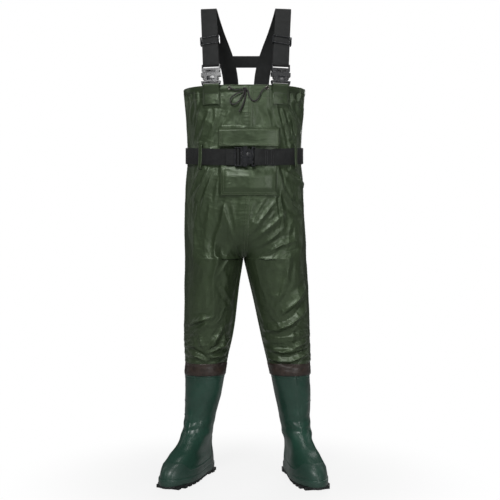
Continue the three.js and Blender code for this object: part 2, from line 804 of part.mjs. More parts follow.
function strapSlider() {
  const { halfWidth: w, halfHeight: h, rail, bar } = slider;
  const front = -webThick / 2 - 0.6;
  const back = 7.2;
  return joined([
    box(-w, -w + rail, front - 2.4, back, -h, h),
    box(w - rail, w, front - 2.4, back, -h, h),
    box(-w + 1, w - 1, front - 2.4, front, h - bar, h),
    box(-w + 1, w - 1, front - 2.4, front, -h, -h + bar),
    box(-w + 1, w - 1, 4.6, back, -1.8, 1.8),
  ]);
}

for (const side of sides) {
  const s = sideSign[side];
  const place = shoulderPlace(s);
  const run = straightRun(s, place);
  const onSlider = sliderPlace(s, run);
  add(`${side}_buckle_tab`, buckleTab(s, place), "cloth");
  add(`${side}_buckle_female`, femaleBuckle(), "plastic", place);
  add(`${side}_buckle_male`, maleBuckle(oneSlot), "plastic", place);
  add(`${side}_buckle_prong_a`, buckleProng(-1), "plastic", place);
  add(`${side}_buckle_prong_b`, buckleProng(1), "plastic", place);
  add(`${side}_strap`, shoulderStrap(s, place), "webbing");
  add(`${side}_strap_return`, returnLayer(place, onSlider), "webbing");
  add(`${side}_slider`, strapSlider(), "plastic", onSlider);

  const anchor = [2, 24, 44, 64].map(
    (below) => (across) => onBack(s * 50 + across, bibTop - below, anchorOut),
  );
  add(`${side}_strap_anchor`, sheet(4, anchor, webWidth, webThick), "webbing");
}

function crossStrap() {
  const y = 112.6;
  const line = between(4, -crossWeb.reach, crossWeb.reach).map((x) => vec(x, y, crossWeb.height));
  return ribbon(line, vec(0, -0.15, 1).normalize(), crossWeb.width, webThick);
}
add("cross_strap", crossStrap(), "webbing");

// ---- Belt ------------------------------------------------------------------------------------------

const beltZ = (w) => beltHeight - beltSag * (0.5 + 0.5 * Math.cos(2 * Math.PI * w)) ** 1.5;
const beltRest = fabric + 3; // the webbing's middle stands this far off the bib, clear of the pouch it crosses

// The buckle lies across the front, its male half towards negative X.
const beltBuckleY = frontY(beltBuckle.x, beltFront) - beltBuckle.standOff;
const beltPlace = new THREE.Matrix4()
  .makeBasis(vec(0, 0, 1), vec(0, 1, 0), vec(-1, 0, 0))
  .setPosition(beltBuckle.x, beltBuckleY, beltFront);

const beltOn = (x, out) => vec(x, frontY(x, beltFront) - out, beltFront);
const inBuckle = (y, z) => vec(0, y, z).applyMatrix4(beltPlace);

// Sewn round the female half's bar, then all the way round the waist to the inside of the male half.
function beltStrap() {
  const barZ = buckle.barEnd + buckle.bar / 2;
  const radius = buckle.barHalfThick + 1.4 + webThick / 2;
  const round = [60, 20, -30, -80, -130, -170, -200].map(radians);
  const line = [
    beltOn(66, 4.2),
    beltOn(52, 4.6),
    beltOn(42, 6.8),
    ...round.map((a) => inBuckle(radius * Math.cos(a), barZ - radius * Math.sin(a))),
    beltOn(44, 14),
    beltOn(56, 9.8),
    beltOn(68, 7.8),
    beltOn(84, 5.5),
  ];
  const from = 1 - acrossAt(96, beltFront).u / 2;
  const to = acrossAt(-58, beltFront).u / 2;
  for (const w of between(40, from, to)) line.push(around(w, beltZ(w), beltRest));
  line.push(beltOn(-42, 4.3), beltOn(-20, 4.3));
  return ribbon(line, vec(0, 0, 1), webWidth, webThick);
}

// The webbing through the male half: behind its last bar, over the middle bar and down again.
function beltWrap() {
  const line = [
    [5, 58],
    [4.2, 40],
    [4, 29],
    [3.3, 25.8],
    [1.8, 24.9],
    [-1.6, 24.9],
    [-3.4, 23.6],
    [-3.9, 20.9],
    [-3.4, 18.2],
    [-1.6, 17],
    [3, 17],
  ].map(([y, z]) => inBuckle(y, z));
  return ribbon(line, vec(0, 0, 1), webWidth, webThick);
}

add("belt_strap", beltStrap(), "webbing");
add("belt_wrap", beltWrap(), "webbing");
add("belt_buckle_female", femaleBuckle(), "plastic", beltPlace);
add("belt_buckle_male", maleBuckle(ladder), "plastic", beltPlace);
add("belt_buckle_prong_a", buckleProng(-1), "plastic", beltPlace);
add("belt_buckle_prong_b", buckleProng(1), "plastic", beltPlace);

// Where a place across the front or the back lies on the way round.
function wayRound(x, z, back) {
  const { s, u } = acrossAt(x, z);
  const w = (back ? 1 - u : u) / 2;
  return s < 0 ? w : 1 - w;
}

// A belt loop is sewn at its ends and bridges the belt.
function beltLoop(w, z) {
  const girth = 1180;
  const clear = beltRest + webThick / 2 + 1.2 + loop.thick / 2;
  const near = seamGap + 0.45 + loop.thick / 2;
  const rows = [-1, -0.84, -0.74, 0, 0.74, 0.84, 1].map((t) => {
    const out = mix(near, clear, smooth((1 - Math.abs(t)) / 0.2));
    return (across) => around(w + across / girth, z + (t * loop.height) / 2, out);
  });
  return sheet(2, rows, loop.width, loop.thick);
}
for (const [name, x] of Object.entries(loopPlaces)) {
  const w = wayRound(x, beltHeight, name.startsWith("back"));
  add(`${name}_belt_loop`, beltLoop(w, beltZ(w)), "cloth");
}

// ---- Boots -----------------------------------------------------------------------------------------

const bootAt = track(bootStations);
const shaftXAt = { left: track(shaftLean.left), right: track(shaftLean.right) };

// Half the foot's width along its length, from the heel to the toe.
const footPlan = track([
  [-90, 37],
  [-50, 38],
  [0, 38],
  [50, 45],
  [100, 53],
  [150, 54],
  [190, 51],
  [220, 47],
]);

// A boot's outline at one height, moved in by a distance; the foot points along its own forward line.
function bootRing(side, z, inset, count) {
  const s = sideSign[side];
  const [heel, toe, half] = bootAt(z);
  const turn = radians(footTurn[side]);
  const cx = shaftXAt[side](z)[0];
  const cy = mix(shaftCentreY.top, shaftCentreY.foot, smooth((bootTop - z) / 180));
  const foot = smooth((150 - z) / 70);
  const length = (heel + toe) / 2 - inset;
  return steps(count).slice(1).map((t) => {
    const a = 2 * Math.PI * t;
    const square = mix(1, 0.86, foot);
    const along = (toe - heel) / 2 + length * power(Math.cos(a), square);
    const plan = footPlan(along)[0] * (half / sole.ball);
    const width = mix(half, plan, foot) - inset;
    const over = width * power(Math.sin(a), square);
    const forward = vec(s * Math.sin(turn), -Math.cos(turn), 0);
    const sideways = vec(Math.cos(turn), s * Math.sin(turn), 0);
    return vec(cx, cy, z).addScaledVector(forward, along).addScaledVector(sideways, over);
  });
}

function boot(side) {
  const outer = [bootTop, 260, 200, 160, 135, 115, 95, 75, 52, 30];
  const inner = [bootTop + 1, 260, 200, 160, 135, 115, 95, 75, 52, bootFloor];
  const rings = (heights, inset) => heights.map((z) => bootRing(side, z, inset, 20));
  return cut(loft(rings(outer, 0)), [loft(rings(inner, bootWall))]);
}

function insole(side) {
  const low = bootFloor + seamGap;
  const rings = [low, low + insoleThick].map((z) => bootRing(side, z, bootWall + 1.2, 20));
  return loft(rings);
}

// The outsole's outline in the foot's own frame: forward and sideways.
const soleOutline = (inset) => {
  const middle = (sole.toe - sole.heel) / 2;
  const length = (sole.toe + sole.heel) / 2 - inset;
  return steps(28).slice(1).map((t) => {
    const a = 2 * Math.PI * t;
    const along = middle + length * power(Math.cos(a), 0.8);
    return [along, (footPlan(along)[0] - inset) * power(Math.sin(a), 0.8)];
  });
};

function footPlace(side) {
  const s = sideSign[side];
  const turn = radians(footTurn[side]);
  return new THREE.Matrix4()
    .makeBasis(
      vec(s * Math.sin(turn), -Math.cos(turn), 0),
      vec(Math.cos(turn), s * Math.sin(turn), 0),
      vec(0, 0, 1),
    )
    .setPosition(shaftXAt[side](30)[0], shaftCentreY.foot, 0);
}

// Extrudes an outline of [forward, sideways] between two heights.
function slab(outline, low, high) {
  const shape = new THREE.Shape(outline.map(([x, y]) => vec2(x, y)));
  return new THREE.ExtrudeGeometry(shape, { depth: high - low, bevelEnabled: false })
    .translate(0, 0, low);
}

// Forefoot and heel lugs in rows across, with a bare arch between them.
function outsole() {
  const lugs = [];
  const rows = [-66, -42, -18, 62, 88, 114, 140, 166, 190];
  for (const along of rows)
    for (const way of [-1, 1]) {
      const half = footPlan(along)[0] - (along > 180 || along < -60 ? 12 : 5);
      const [low, high] = way < 0 ? [-half, -5] : [5, half];
      lugs.push(box(along - 8, along + 8, low, high, 0, sole.tread + 1));
    }
  return joined([slab(soleOutline(0), sole.tread, sole.top), ...lugs]);
}

for (const side of sides) {
  add(`${side}_boot`, boot(side), "boot");
  add(`${side}_outsole`, outsole(), "sole", footPlace(side));
  add(`${side}_insole`, insole(side), "insole");
}

const group = new THREE.Group();
group.add(worn);
export default group;
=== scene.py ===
import math

import bmesh
import bpy
import numpy as np
from mathutils import Matrix, Vector


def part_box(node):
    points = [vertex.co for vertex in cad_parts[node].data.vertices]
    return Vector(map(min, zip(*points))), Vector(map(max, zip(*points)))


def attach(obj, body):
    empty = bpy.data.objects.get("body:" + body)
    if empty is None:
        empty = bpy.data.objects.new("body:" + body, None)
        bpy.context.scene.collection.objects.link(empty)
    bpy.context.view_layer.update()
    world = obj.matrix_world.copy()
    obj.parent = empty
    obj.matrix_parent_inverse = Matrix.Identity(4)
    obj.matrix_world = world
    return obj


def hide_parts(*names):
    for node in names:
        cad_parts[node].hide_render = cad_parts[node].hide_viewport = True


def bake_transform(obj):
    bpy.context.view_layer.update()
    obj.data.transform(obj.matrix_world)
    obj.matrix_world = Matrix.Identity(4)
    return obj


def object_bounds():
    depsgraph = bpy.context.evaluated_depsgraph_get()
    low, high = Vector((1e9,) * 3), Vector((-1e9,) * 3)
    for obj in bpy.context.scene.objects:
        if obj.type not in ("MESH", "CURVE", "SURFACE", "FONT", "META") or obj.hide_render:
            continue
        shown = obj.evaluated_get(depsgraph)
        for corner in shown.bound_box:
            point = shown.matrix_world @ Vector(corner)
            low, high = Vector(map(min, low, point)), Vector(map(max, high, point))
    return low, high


# Chest waders in the pose in which they are worn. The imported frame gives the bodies, the joints and the
# places of the hard parts. Shape functions work in millimetres with heights above the ground, as the part's
# own drawing does, and to_row() turns them into the frame's metres.

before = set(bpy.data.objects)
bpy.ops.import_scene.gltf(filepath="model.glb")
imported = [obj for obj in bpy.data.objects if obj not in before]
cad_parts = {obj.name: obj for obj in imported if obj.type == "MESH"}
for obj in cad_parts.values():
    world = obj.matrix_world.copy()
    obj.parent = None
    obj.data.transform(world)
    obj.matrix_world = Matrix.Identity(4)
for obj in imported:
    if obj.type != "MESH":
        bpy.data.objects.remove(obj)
cad_low, cad_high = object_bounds()
bpy.ops.object.select_all(action="DESELECT")

MM = 0.001
SHOULDER_TOP = round(-cad_low.z / MM, 3)


def height_of(node, corner):
    """Height above the ground of a CAD node's lowest (0) or highest (1) point."""
    return round(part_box(node)[corner].z / MM + SHOULDER_TOP, 2)


BIB_TOP = height_of("left_front_panel", 1)
BOOT_TOP = height_of("left_boot_tape", 0)
KNEE_TOP = height_of("left_knee_cloth", 1)
KNEE_FOOT = height_of("left_knee_cloth", 0)
KNEE = (KNEE_TOP + KNEE_FOOT) / 2
TAPE_TOP = height_of("left_boot_tape", 1)
CROTCH = 697.0
FORK_TOP = 800.0
BELT_HEIGHT = 1028.0
BELT_SAG = 24.0
BELT_FRONT = BELT_HEIGHT - BELT_SAG
CLOTH = 1.6
GAP = 0.3
WEB = 50.0
WEB_THICK = 2.0
CORD = 4.0
CORD_LINE = BIB_TOP - 8.0
SIDES = ("left", "right")
SIGN = {"left": -1.0, "right": 1.0}

# ---- Camera ----------------------------------------------------------------------------------------


def make_camera():
    data = bpy.data.cameras.new("camera")
    data.lens = 64.7
    data.sensor_width = 36.0
    camera = bpy.data.objects.new("camera", data)
    camera.location = (0.0127, -2.85, (722.0 - SHOULDER_TOP) * MM)
    camera.rotation_euler = (math.radians(90), 0, 0)
    bpy.context.scene.collection.objects.link(camera)
    bpy.context.scene.camera = camera


make_camera()

# ---- Numbers and curves ----------------------------------------------------------------------------


def clip01(t):
    return np.clip(t, 0.0, 1.0)


def smooth(t):
    t = clip01(t)
    return t * t * (3 - 2 * t)


def mix(a, b, t):
    return a + (b - a) * t


def power(v, n):
    return np.sign(v) * np.abs(v) ** n


def unit(v):
    v = np.asarray(v, float)
    return v / np.maximum(np.linalg.norm(v, axis=-1, keepdims=True), 1e-9)


def track(rows):
    """A smooth curve through rows of (height, values...), as a function of height."""
    rows = np.array(sorted(rows), float)
    h, v = rows[:, 0], rows[:, 1:]
    place = np.arange(len(h))
    before, after = np.maximum(place - 1, 0), np.minimum(place + 1, len(h) - 1)
    slope = (v[after] - v[before]) / (h[after] - h[before])[:, None]

    def at(height):
        x = np.clip(np.asarray(height, float), h[0], h[-1])
        i = np.clip(np.searchsorted(h, x, side="left") - 1, 0, len(h) - 2)
        d = (h[i + 1] - h[i])[..., None]
        t = ((x - h[i]) / (h[i + 1] - h[i]))[..., None]
        value = (2 * t**3 - 3 * t**2 + 1) * v[i] + (3 * t**2 - 2 * t**3) * v[i + 1]
        value += (t**3 - 2 * t**2 + t) * d * slope[i] + (t**3 - t**2) * d * slope[i + 1]
        return np.moveaxis(value, -1, 0)

    return at


def catmull(points, step):
    """A smooth line through points, with a point about every step along it."""
    p = np.array(points, float)
    p = np.vstack([2 * p[0] - p[1], p, 2 * p[-1] - p[-2]])
    line = []
    for i in range(1, len(p) - 2):
        a, b, c, d = p[i - 1 : i + 3]
        k = [0.0]
        for q, r in ((a, b), (b, c), (c, d)):
            k.append(k[-1] + max(np.linalg.norm(r - q), 1e-6) ** 0.5)
        count = max(2, int(round(np.linalg.norm(c - b) / step)))
        for t in np.linspace(k[1], k[2], count, endpoint=False):
            ab = mix(a, b, (t - k[0]) / (k[1] - k[0]))
            bc = mix(b, c, (t - k[1]) / (k[2] - k[1]))
            cd = mix(c, d, (t - k[2]) / (k[3] - k[2]))
            abc = mix(ab, bc, (t - k[0]) / (k[2] - k[0]))
            bcd = mix(bc, cd, (t - k[1]) / (k[3] - k[1]))
            line.append(mix(abc, bcd, (t - k[1]) / (k[2] - k[1])))
    return np.array(line + [p[-2]])


def run_of(line):
    """Length along a line at each of its points."""
    steps = np.linalg.norm(np.diff(line, axis=0), axis=1)
    return np.concatenate([[0.0], np.cumsum(steps)])


def interpolated(at, run, data):
    """Rows of three values, at lengths along a line."""
    return np.stack([np.interp(at, run, data[:, k]) for k in range(3)], 1)


def spaced(line, pitch):
    """Points a pitch apart along a line."""
    run = run_of(line)
    count = max(2, int(round(run[-1] / pitch)))
    return interpolated(np.linspace(0, run[-1], count + 1), run, line)


def noise(x, y, seed):
    """Smooth noise from -1 to 1 over a plane, the same on each run."""
    xi, yi = np.floor(x), np.floor(y)
    fx, fy = smooth(x - xi), smooth(y - yi)

    def lattice(i, j):
        n = np.sin(i * 127.1 + j * 311.7 + seed * 74.7) * 43758.5453
        return 2 * (n - np.floor(n)) - 1

    low = mix(lattice(xi, yi), lattice(xi + 1, yi), fx)
    high = mix(lattice(xi, yi + 1), lattice(xi + 1, yi + 1), fx)
    return mix(low, high, fy)


def creases(x, y, seed):
    """Noise with sharp ridges, from 0 to 1."""
    return (1 - np.abs(noise(x, y, seed))) ** 2


# ---- The garment's shape ---------------------------------------------------------------------------

# (height, half width, front depth, back depth) of the trunk
trunk_at = track([
    (1224, 193, 118, 122), (1121, 185, 121, 112), (1045, 181, 119, 104), (1000, 181, 118, 105),
    (944, 187, 120, 116), (868, 190, 121, 127), (766, 195, 117, 130), (690, 198, 108, 120),
    (600, 198, 100, 110),
])
# (height, centre x, half width, centre y, half depth) of each leg
leg_at = {
    "left": track([
        (697, -101, 93, 4, 112), (614, -109, 88, 8, 100), (563, -112, 85, 11, 94),
        (487, -118, 82, 17, 86), (437, -122, 77, 22, 80), (386, -127, 70, 29, 73),
        (331, -131, 65, 35, 67),
    ]),
    "right": track([
        (697, 93, 101, 4, 112), (614, 106, 94, 8, 100), (563, 113, 89, 11, 94),
        (487, 122, 82, 17, 86), (437, 128, 77, 22, 80), (386, 135, 72, 29, 73),
        (331, 141, 65, 35, 67),
    ]),
}
TRUNK_SHIFT = -5.0
SQUARENESS = 2 / 2.35
GIRTH = 580.0  # round one side, from the front seam to the back seam


def seam_x(z):
    return mix(-8.0, 8.0, smooth((np.asarray(z, float) - CROTCH) / (1100 - CROTCH)))


def trunk_reach(s, z):
    return trunk_at(z)[0] + s * (TRUNK_SHIFT - seam_x(z))


def garment(side, u, z):
    """The garment's smooth outer face: u is 0 at the front seam, 0.5 at the side and 1 at the back seam."""
    s = SIGN[side]
    u, z = np.broadcast_arrays(np.asarray(u, float), np.asarray(z, float))
    _, front, back = trunk_at(z)
    angle = np.pi * (0.5 - u)
    trunk_x = seam_x(z) + s * trunk_reach(s, z) * power(np.cos(angle), SQUARENESS)
    trunk_y = -np.where(u < 0.5, front, back) * power(np.sin(angle), SQUARENESS)
    cx, a, cy, b = leg_at[side](np.minimum(z, CROTCH))
    leg_x = cx - s * a * np.cos(2 * np.pi * u)
    leg_y = cy - b * np.sin(2 * np.pi * u)
    drop = clip01((FORK_TOP - z) / (FORK_TOP - CROTCH))
    at_seam = 1 - np.sqrt(1 - drop * drop)
    at_side = smooth((FORK_TOP + 60 - z) / 220)
    share = mix(at_side, at_seam, np.abs(np.cos(np.pi * u)) ** 3)
    x = mix(trunk_x, leg_x, share) + s * GAP / 2
    return np.stack([x, mix(trunk_y, leg_y, share), z], -1)


def facing_out(side, along_u, along_z):
    return unit(np.cross(along_u, along_z)) * SIGN[side]


def garment_normal(side, u, z):
    e = 0.003
    u, z = np.broadcast_arrays(np.asarray(u, float), np.asarray(z, float))
    along_u = garment(side, np.minimum(u + e, 1), z) - garment(side, np.maximum(u - e, 0), z)
    along_z = garment(side, u, z + 1.5) - garment(side, u, z - 1.5)
    return facing_out(side, along_u, along_z)


def across_at(x, z):
    """(side, u on the front) at a place across the trunk."""
    s = -1.0 if x < seam_x(z) else 1.0
    c = min(1.0, float(abs(x - seam_x(z)) / trunk_reach(s, z))) ** (1 / SQUARENESS)
    return s, 0.5 - math.acos(c) / math.pi


def rise(x, z):
    s = np.where(x < seam_x(z), -1.0, 1.0)
    c = clip01(np.abs(x - seam_x(z)) / trunk_reach(s, z)) ** (1 / SQUARENESS)
    return np.sqrt(1 - c * c) ** SQUARENESS


def on_front(x, z, out):
    """A point in front of the bib at x and z."""
    x, z, out = np.broadcast_arrays(np.asarray(x, float), np.asarray(z, float), np.asarray(out, float))
    return np.stack([x, -trunk_at(z)[1] * rise(x, z) - out, z], -1)


def on_back(x, z, out):
    x, z, out = np.broadcast_arrays(np.asarray(x, float), np.asarray(z, float), np.asarray(out, float))
    return np.stack([x, trunk_at(z)[2] * rise(x, z) + out, z], -1)


def around(w, z, out):
    """Level round the trunk: w runs from the front seam over the left side, the back and the right side."""
    w, z, out = np.broadcast_arrays(np.asarray(w, float), np.asarray(z, float), np.asarray(out, float))
    left = w < 0.5
    point = np.where(left[..., None], garment("left", 2 * w, z), garment("right", 2 - 2 * w, z))
    n = np.where(left[..., None], garment_normal("left", clip01(2 * w), z),
                 garment_normal("right", clip01(2 - 2 * w), z))
    n[..., 2] = 0
    return point + unit(n) * out[..., None]


def belt_z(w):
    return BELT_HEIGHT - BELT_SAG * (0.5 + 0.5 * np.cos(2 * np.pi * np.asarray(w, float))) ** 1.5


# ---- Folds -----------------------------------------------------------------------------------------
# A fold is a ridge (or, with a negative height, a crease) along a few points of (x, height) as seen from
# the front: points, width, height, lean. A positive lean makes its right-hand side the steep one.

FRONT_FOLDS = {
    "left": [
        ([(-137, 1172), (-150, 1120), (-165, 1070)], 8, 3.4, 0.4),
        ([(-110, 1158), (-128, 1105), (-142, 1060)], 9, 2.6, 0.3),
        ([(-84, 1160), (-98, 1110), (-118, 1062)], 9, 2.4, -0.3),
        ([(-165, 1190), (-176, 1140), (-182, 1085)], 8, 3.2, 0.2),
        ([(-50, 1150), (-62, 1122), (-80, 1096)], 8, 1.8, 0.3),
        ([(-112, 976), (-138, 920), (-166, 868)], 8, 4.6, 0.4),
        ([(-98, 970), (-122, 905), (-142, 835)], 8, 3.8, 0.4),
        ([(-136, 978), (-156, 940), (-175, 900)], 7, 3.2, 0.3),
        ([(-84, 965), (-92, 900), (-100, 845)], 7, 2.6, -0.3),
        ([(-150, 965), (-168, 925), (-182, 880)], 7, 2.6, 0.2),
        ([(-60, 880), (-80, 790), (-92, 700), (-103, 635), (-99, 560), (-104, 512)], 11, 6.0, 0.6),
        ([(-42, 862), (-36, 815), (-24, 765)], 8, 4.4, 0.5),
        ([(-66, 850), (-52, 800), (-34, 745)], 9, 3.8, -0.4),
        ([(-20, 868), (-16, 820), (-12, 778)], 7, 3.4, 0.2),
        ([(-104, 860), (-118, 790), (-128, 715)], 14, 2.8, 0.3),
        ([(-150, 850), (-160, 770), (-166, 690)], 15, 2.6, -0.3),
        ([(-34, 735), (-58, 700), (-84, 640)], 10, 3.4, 0.4),
        ([(-76, 612), (-58, 585), (-40, 552)], 9, 3.8, 0.3),
        ([(-70, 660), (-56, 630), (-48, 600)], 9, 2.6, -0.2),
        ([(-104, 513), (-140, 503), (-190, 484)], 8, 7.0, -0.5),
        ([(-112, 500), (-138, 482), (-176, 452)], 9, 5.4, 0.4),
        ([(-126, 498), (-160, 484), (-186, 468)], 7, -4.0, 0.0),
        ([(-70, 480), (-92, 448), (-118, 408)], 9, 6.0, 0.5),
        ([(-60, 470), (-64, 440), (-80, 412)], 8, 3.2, -0.3),
        ([(-150, 455), (-140, 432), (-126, 408)], 9, 4.2, 0.3),
        ([(-188, 414), (-158, 402), (-118, 384)], 6, -5.0, 0.3),
        ([(-186, 402), (-156, 388), (-122, 372)], 6, 5.0, 0.3),
        ([(-126, 396), (-92, 410), (-52, 436)], 7, 6.2, -0.4),
        ([(-122, 384), (-90, 388), (-54, 404)], 6, 6.0, -0.4),
        ([(-118, 374), (-90, 376), (-58, 386)], 5, -4.4, 0.0),
    ],
    "right": [
        ([(92, 1172), (103, 1124), (119, 1070)], 7, 3.6, 0.4),
        ([(110, 1160), (126, 1115), (140, 1066)], 7, 3.8, 0.5),
        ([(120, 1180), (146, 1135), (167, 1078)], 8, 5.2, 0.4),
        ([(148, 1196), (164, 1160), (177, 1112)], 7, 4.6, 0.3),
        ([(168, 1205), (180, 1150), (182, 1090)], 8, 4.0, -0.2),
        ([(58, 1160), (70, 1130), (76, 1098)], 7, 2.0, 0.4),
        ([(136, 1150), (150, 1112), (156, 1072)], 6, -3.0, 0.0),
        ([(100, 976), (118, 908), (146, 860), (178, 828)], 8, 6.6, 0.5),
        ([(124, 966), (150, 945), (182, 926)], 7, 4.6, 0.4),
        ([(106, 945), (108, 870), (118, 790)], 8, 4.0, -0.4),
        ([(92, 905), (96, 850), (104, 800)], 8, 2.8, 0.3),
        ([(150, 975), (168, 950), (186, 905)], 7, 3.4, 0.3),
        ([(132, 900), (152, 872), (182, 858)], 8, -3.6, 0.0),
        ([(18, 772), (48, 815), (92, 876)], 8, 4.6, -0.4),
        ([(14, 782), (34, 835), (54, 872)], 7, 3.8, 0.3),
        ([(24, 752), (66, 786), (120, 836)], 9, 4.2, 0.5),
        ([(28, 730), (70, 750), (118, 786)], 9, 3.2, -0.3),
        ([(6, 800), (14, 840), (20, 872)], 7, 2.8, 0.2),
        ([(70, 716), (112, 738), (160, 752)], 9, 6.6, -0.5),
        ([(66, 694), (110, 712), (165, 726)], 9, -4.6, 0.0),
        ([(140, 712), (134, 668), (126, 620)], 9, 3.2, 0.4),
        ([(122, 640), (108, 585), (90, 535)], 8, 3.6, -0.4),
        ([(70, 640), (92, 648), (116, 636)], 10, -3.2, 0.0),
        ([(60, 590), (86, 578), (116, 584)], 9, 2.4, 0.3),
        ([(120, 530), (150, 556), (190, 610)], 10, 8.0, -0.5),
        ([(104, 498), (146, 524), (190, 570)], 9, -6.4, 0.0),
        ([(58, 472), (96, 474), (138, 490), (192, 540)], 9, 8.4, -0.5),
        ([(70, 452), (116, 454), (170, 470)], 10, -4.4, 0.0),
        ([(150, 470), (146, 440), (150, 412)], 9, 2.8, 0.3),
        ([(140, 408), (166, 422), (192, 438)], 6, 6.4, -0.4),
        ([(82, 412), (112, 404), (140, 410)], 6, 4.6, 0.3),
        ([(74, 400), (108, 392), (150, 394), (200, 416)], 6, -5.6, 0.0),
        ([(68, 382), (106, 372), (140, 372), (200, 402)], 6, 6.8, -0.4),
        ([(80, 366), (130, 362), (190, 378)], 5, -4.0, 0.0),
    ],
}
# The same for the back, as it is seen through the front.
BACK_FOLDS = {
    "left": [
        ([(-150, 990), (-110, 930), (-50, 880)], 9, 4.6, 0.4),
        ([(-165, 960), (-130, 890), (-70, 830)], 10, 4.4, -0.3),
        ([(-60, 985), (-54, 930), (-40, 870)], 9, 3.4, 0.3),
        ([(-24, 820), (-60, 780), (-110, 760)], 10, 5.0, 0.4),
        ([(-22, 775), (-64, 736), (-120, 720)], 10, 4.2, -0.3),
        ([(-92, 1168), (-104, 1110), (-96, 1056)], 9, 3.2, 0.4),
        ([(-130, 1180), (-138, 1120), (-128, 1056)], 9, 3.6, -0.3),
        ([(-40, 1150), (-36, 1100), (-44, 1052)], 9, 2.8, 0.3),
        ([(-96, 700), (-104, 640), (-100, 570)], 12, 4.4, 0.4),
        ([(-60, 640), (-70, 600), (-64, 550)], 9, 3.0, -0.3),
        ([(-60, 520), (-110, 504), (-170, 520)], 8, 6.0, 0.4),
        ([(-58, 492), (-112, 480), (-176, 490)], 7, -5.4, 0.0),
        ([(-60, 470), (-110, 462), (-172, 448)], 8, 6.2, -0.4),
        ([(-140, 450), (-120, 430), (-90, 414)], 8, 4.6, 0.3),
    ],
    "right": [
        ([(160, 992), (112, 925), (48, 872)], 9, 4.8, -0.4),
        ([(170, 955), (134, 885), (74, 822)], 10, 4.2, 0.3),
        ([(64, 985), (60, 925), (46, 880)], 9, 3.2, -0.3),
        ([(16, 812), (58, 772), (112, 752)], 10, 5.0, -0.4),
        ([(14, 765), (66, 728), (124, 708)], 10, 4.0, 0.3),
        ([(96, 1166), (108, 1112), (100, 1054)], 9, 3.4, -0.4),
        ([(134, 1184), (146, 1124), (136, 1054)], 9, 3.4, 0.3),
        ([(52, 1152), (46, 1098), (52, 1050)], 9, 2.6, -0.3),
        ([(100, 696), (112, 632), (106, 566)], 12, 4.6, -0.4),
        ([(150, 650), (160, 600), (154, 556)], 9, 3.2, 0.3),
        ([(64, 516), (118, 500), (180, 512)], 8, 6.0, -0.4),
        ([(62, 488), (120, 474), (184, 484)], 7, -5.4, 0.0),
        ([(66, 462), (124, 456), (186, 442)], 8, 6.0, 0.4),
        ([(90, 444), (120, 426), (156, 412)], 8, 4.4, -0.3),
    ],
}
# Cloth that has slid down on to the boots: (height, rise of the ridge, width, tilt, turn of the tilt)
BUNCHES = {
    "left": [
        (371, 4.0, 6, 5, 0.1), (392, 4.6, 7, 7, 0.62), (415, 4.6, 8, 9, 0.3), (443, 3.6, 11, 10, 0.8),
    ],
    "right": [
        (370, 4.2, 6, 6, 0.6), (390, 4.6, 7, 8, 0.15), (416, 4.8, 8, 9, 0.75), (446, 3.4, 11, 9, 0.4),
    ],
}


def flat_line(side, points, back):
    """Fold points as (distance round the side, height)."""
    line = []
    for x, z in points:
        u = np.linspace(0.5, 1.0, 160) if back else np.linspace(0.0, 0.5, 160)
        xs = garment(side, u, np.full(160, float(z)))[:, 0]
        at = u[np.argmin(np.abs(xs - x))]
        line.append((at * GIRTH, float(z)))
    return np.array(line)


def fold_relief(s, z, line, width, height, lean):
    """How far one fold stands out: a sharp crest with shallow troughs beside it, fading at its ends."""
    best = np.full(s.shape, 1e9)
    signed = np.zeros(s.shape)
    along = np.zeros(s.shape)
    run = run_of(line)
    for i in range(len(line) - 1):
        a, d = line[i], line[i + 1] - line[i]
        length = np.linalg.norm(d)
        t = clip01(((s - a[0]) * d[0] + (z - a[1]) * d[1]) / length**2)
        off_s, off_z = s - a[0] - t * d[0], z - a[1] - t * d[1]
        dist = np.hypot(off_s, off_z)
        side = np.sign(d[0] * off_z - d[1] * off_s)
        near = dist < best
        best = np.where(near, dist, best)
        signed = np.where(near, dist * side, signed)
        along = np.where(near, (run[i] + t * length) / run[-1], along)
    r = signed / (width * (1 - lean * np.sign(signed) * 0.55))
    crest = np.exp(-1.5 * (np.sqrt(r * r + 0.06) - 0.245))
    trough = np.exp(-(((np.abs(r) - 2.0) / 0.9) ** 2))
    taper = np.sin(np.pi * np.clip(along, 0.02, 0.98)) ** 0.55
    fade = np.exp(-np.maximum(best - 3.2 * width, 0) / width)
    return height * taper * (crest - 0.3 * trough) * fade


def boxed(v, low, high, soft):
    """1 inside low to high and 0 outside, with soft edges."""
    return smooth((v - low) / soft + 0.5) * smooth((high - v) / soft + 0.5)


def calm(side, u, z):
    """1 where something sewn on or strapped over the cloth keeps it flat."""
    p = garment(side, u, z)
    x, front = p[..., 0], u < 0.5
    w = u / 2 if side == "left" else 1 - u / 2
    flat = 0.85 * boxed(z, belt_z(w) - 27, belt_z(w) + 27, 10)
    pocket = boxed(x, -82, 104, 8) * boxed(z, 884, 1097, 8)
    tab = boxed(np.abs(x), 79, 133, 6) * boxed(z, 1160, 1240, 8)
    cord = boxed(x, -58, 72, 50) * boxed(z, 1150, 1260, 50)
    flat = np.where(front, np.maximum.reduce([flat, pocket, tab, 0.75 * cord]), flat)
    anchor = boxed(np.abs(x), 22, 78, 8) * boxed(z, 1154, 1240, 8)
    flat = np.where(front, flat, np.maximum(flat, anchor))
    for at_x, on_the_front in ((-136, True), (149, True), (-100, False), (95, False)):
        if (at_x < 0) == (side == "left"):
            strip = boxed(x, at_x - 13, at_x + 13, 8) * boxed(z, belt_z(w) - 44, belt_z(w) + 44, 8)
            flat = np.where(front == on_the_front, np.maximum(flat, strip), flat)
    return flat


_lines = {
    (side, back): [(flat_line(side, f[0], back), *f[1:]) for f in folds[side]]
    for back, folds in ((False, FRONT_FOLDS), (True, BACK_FOLDS))
    for side in SIDES
}


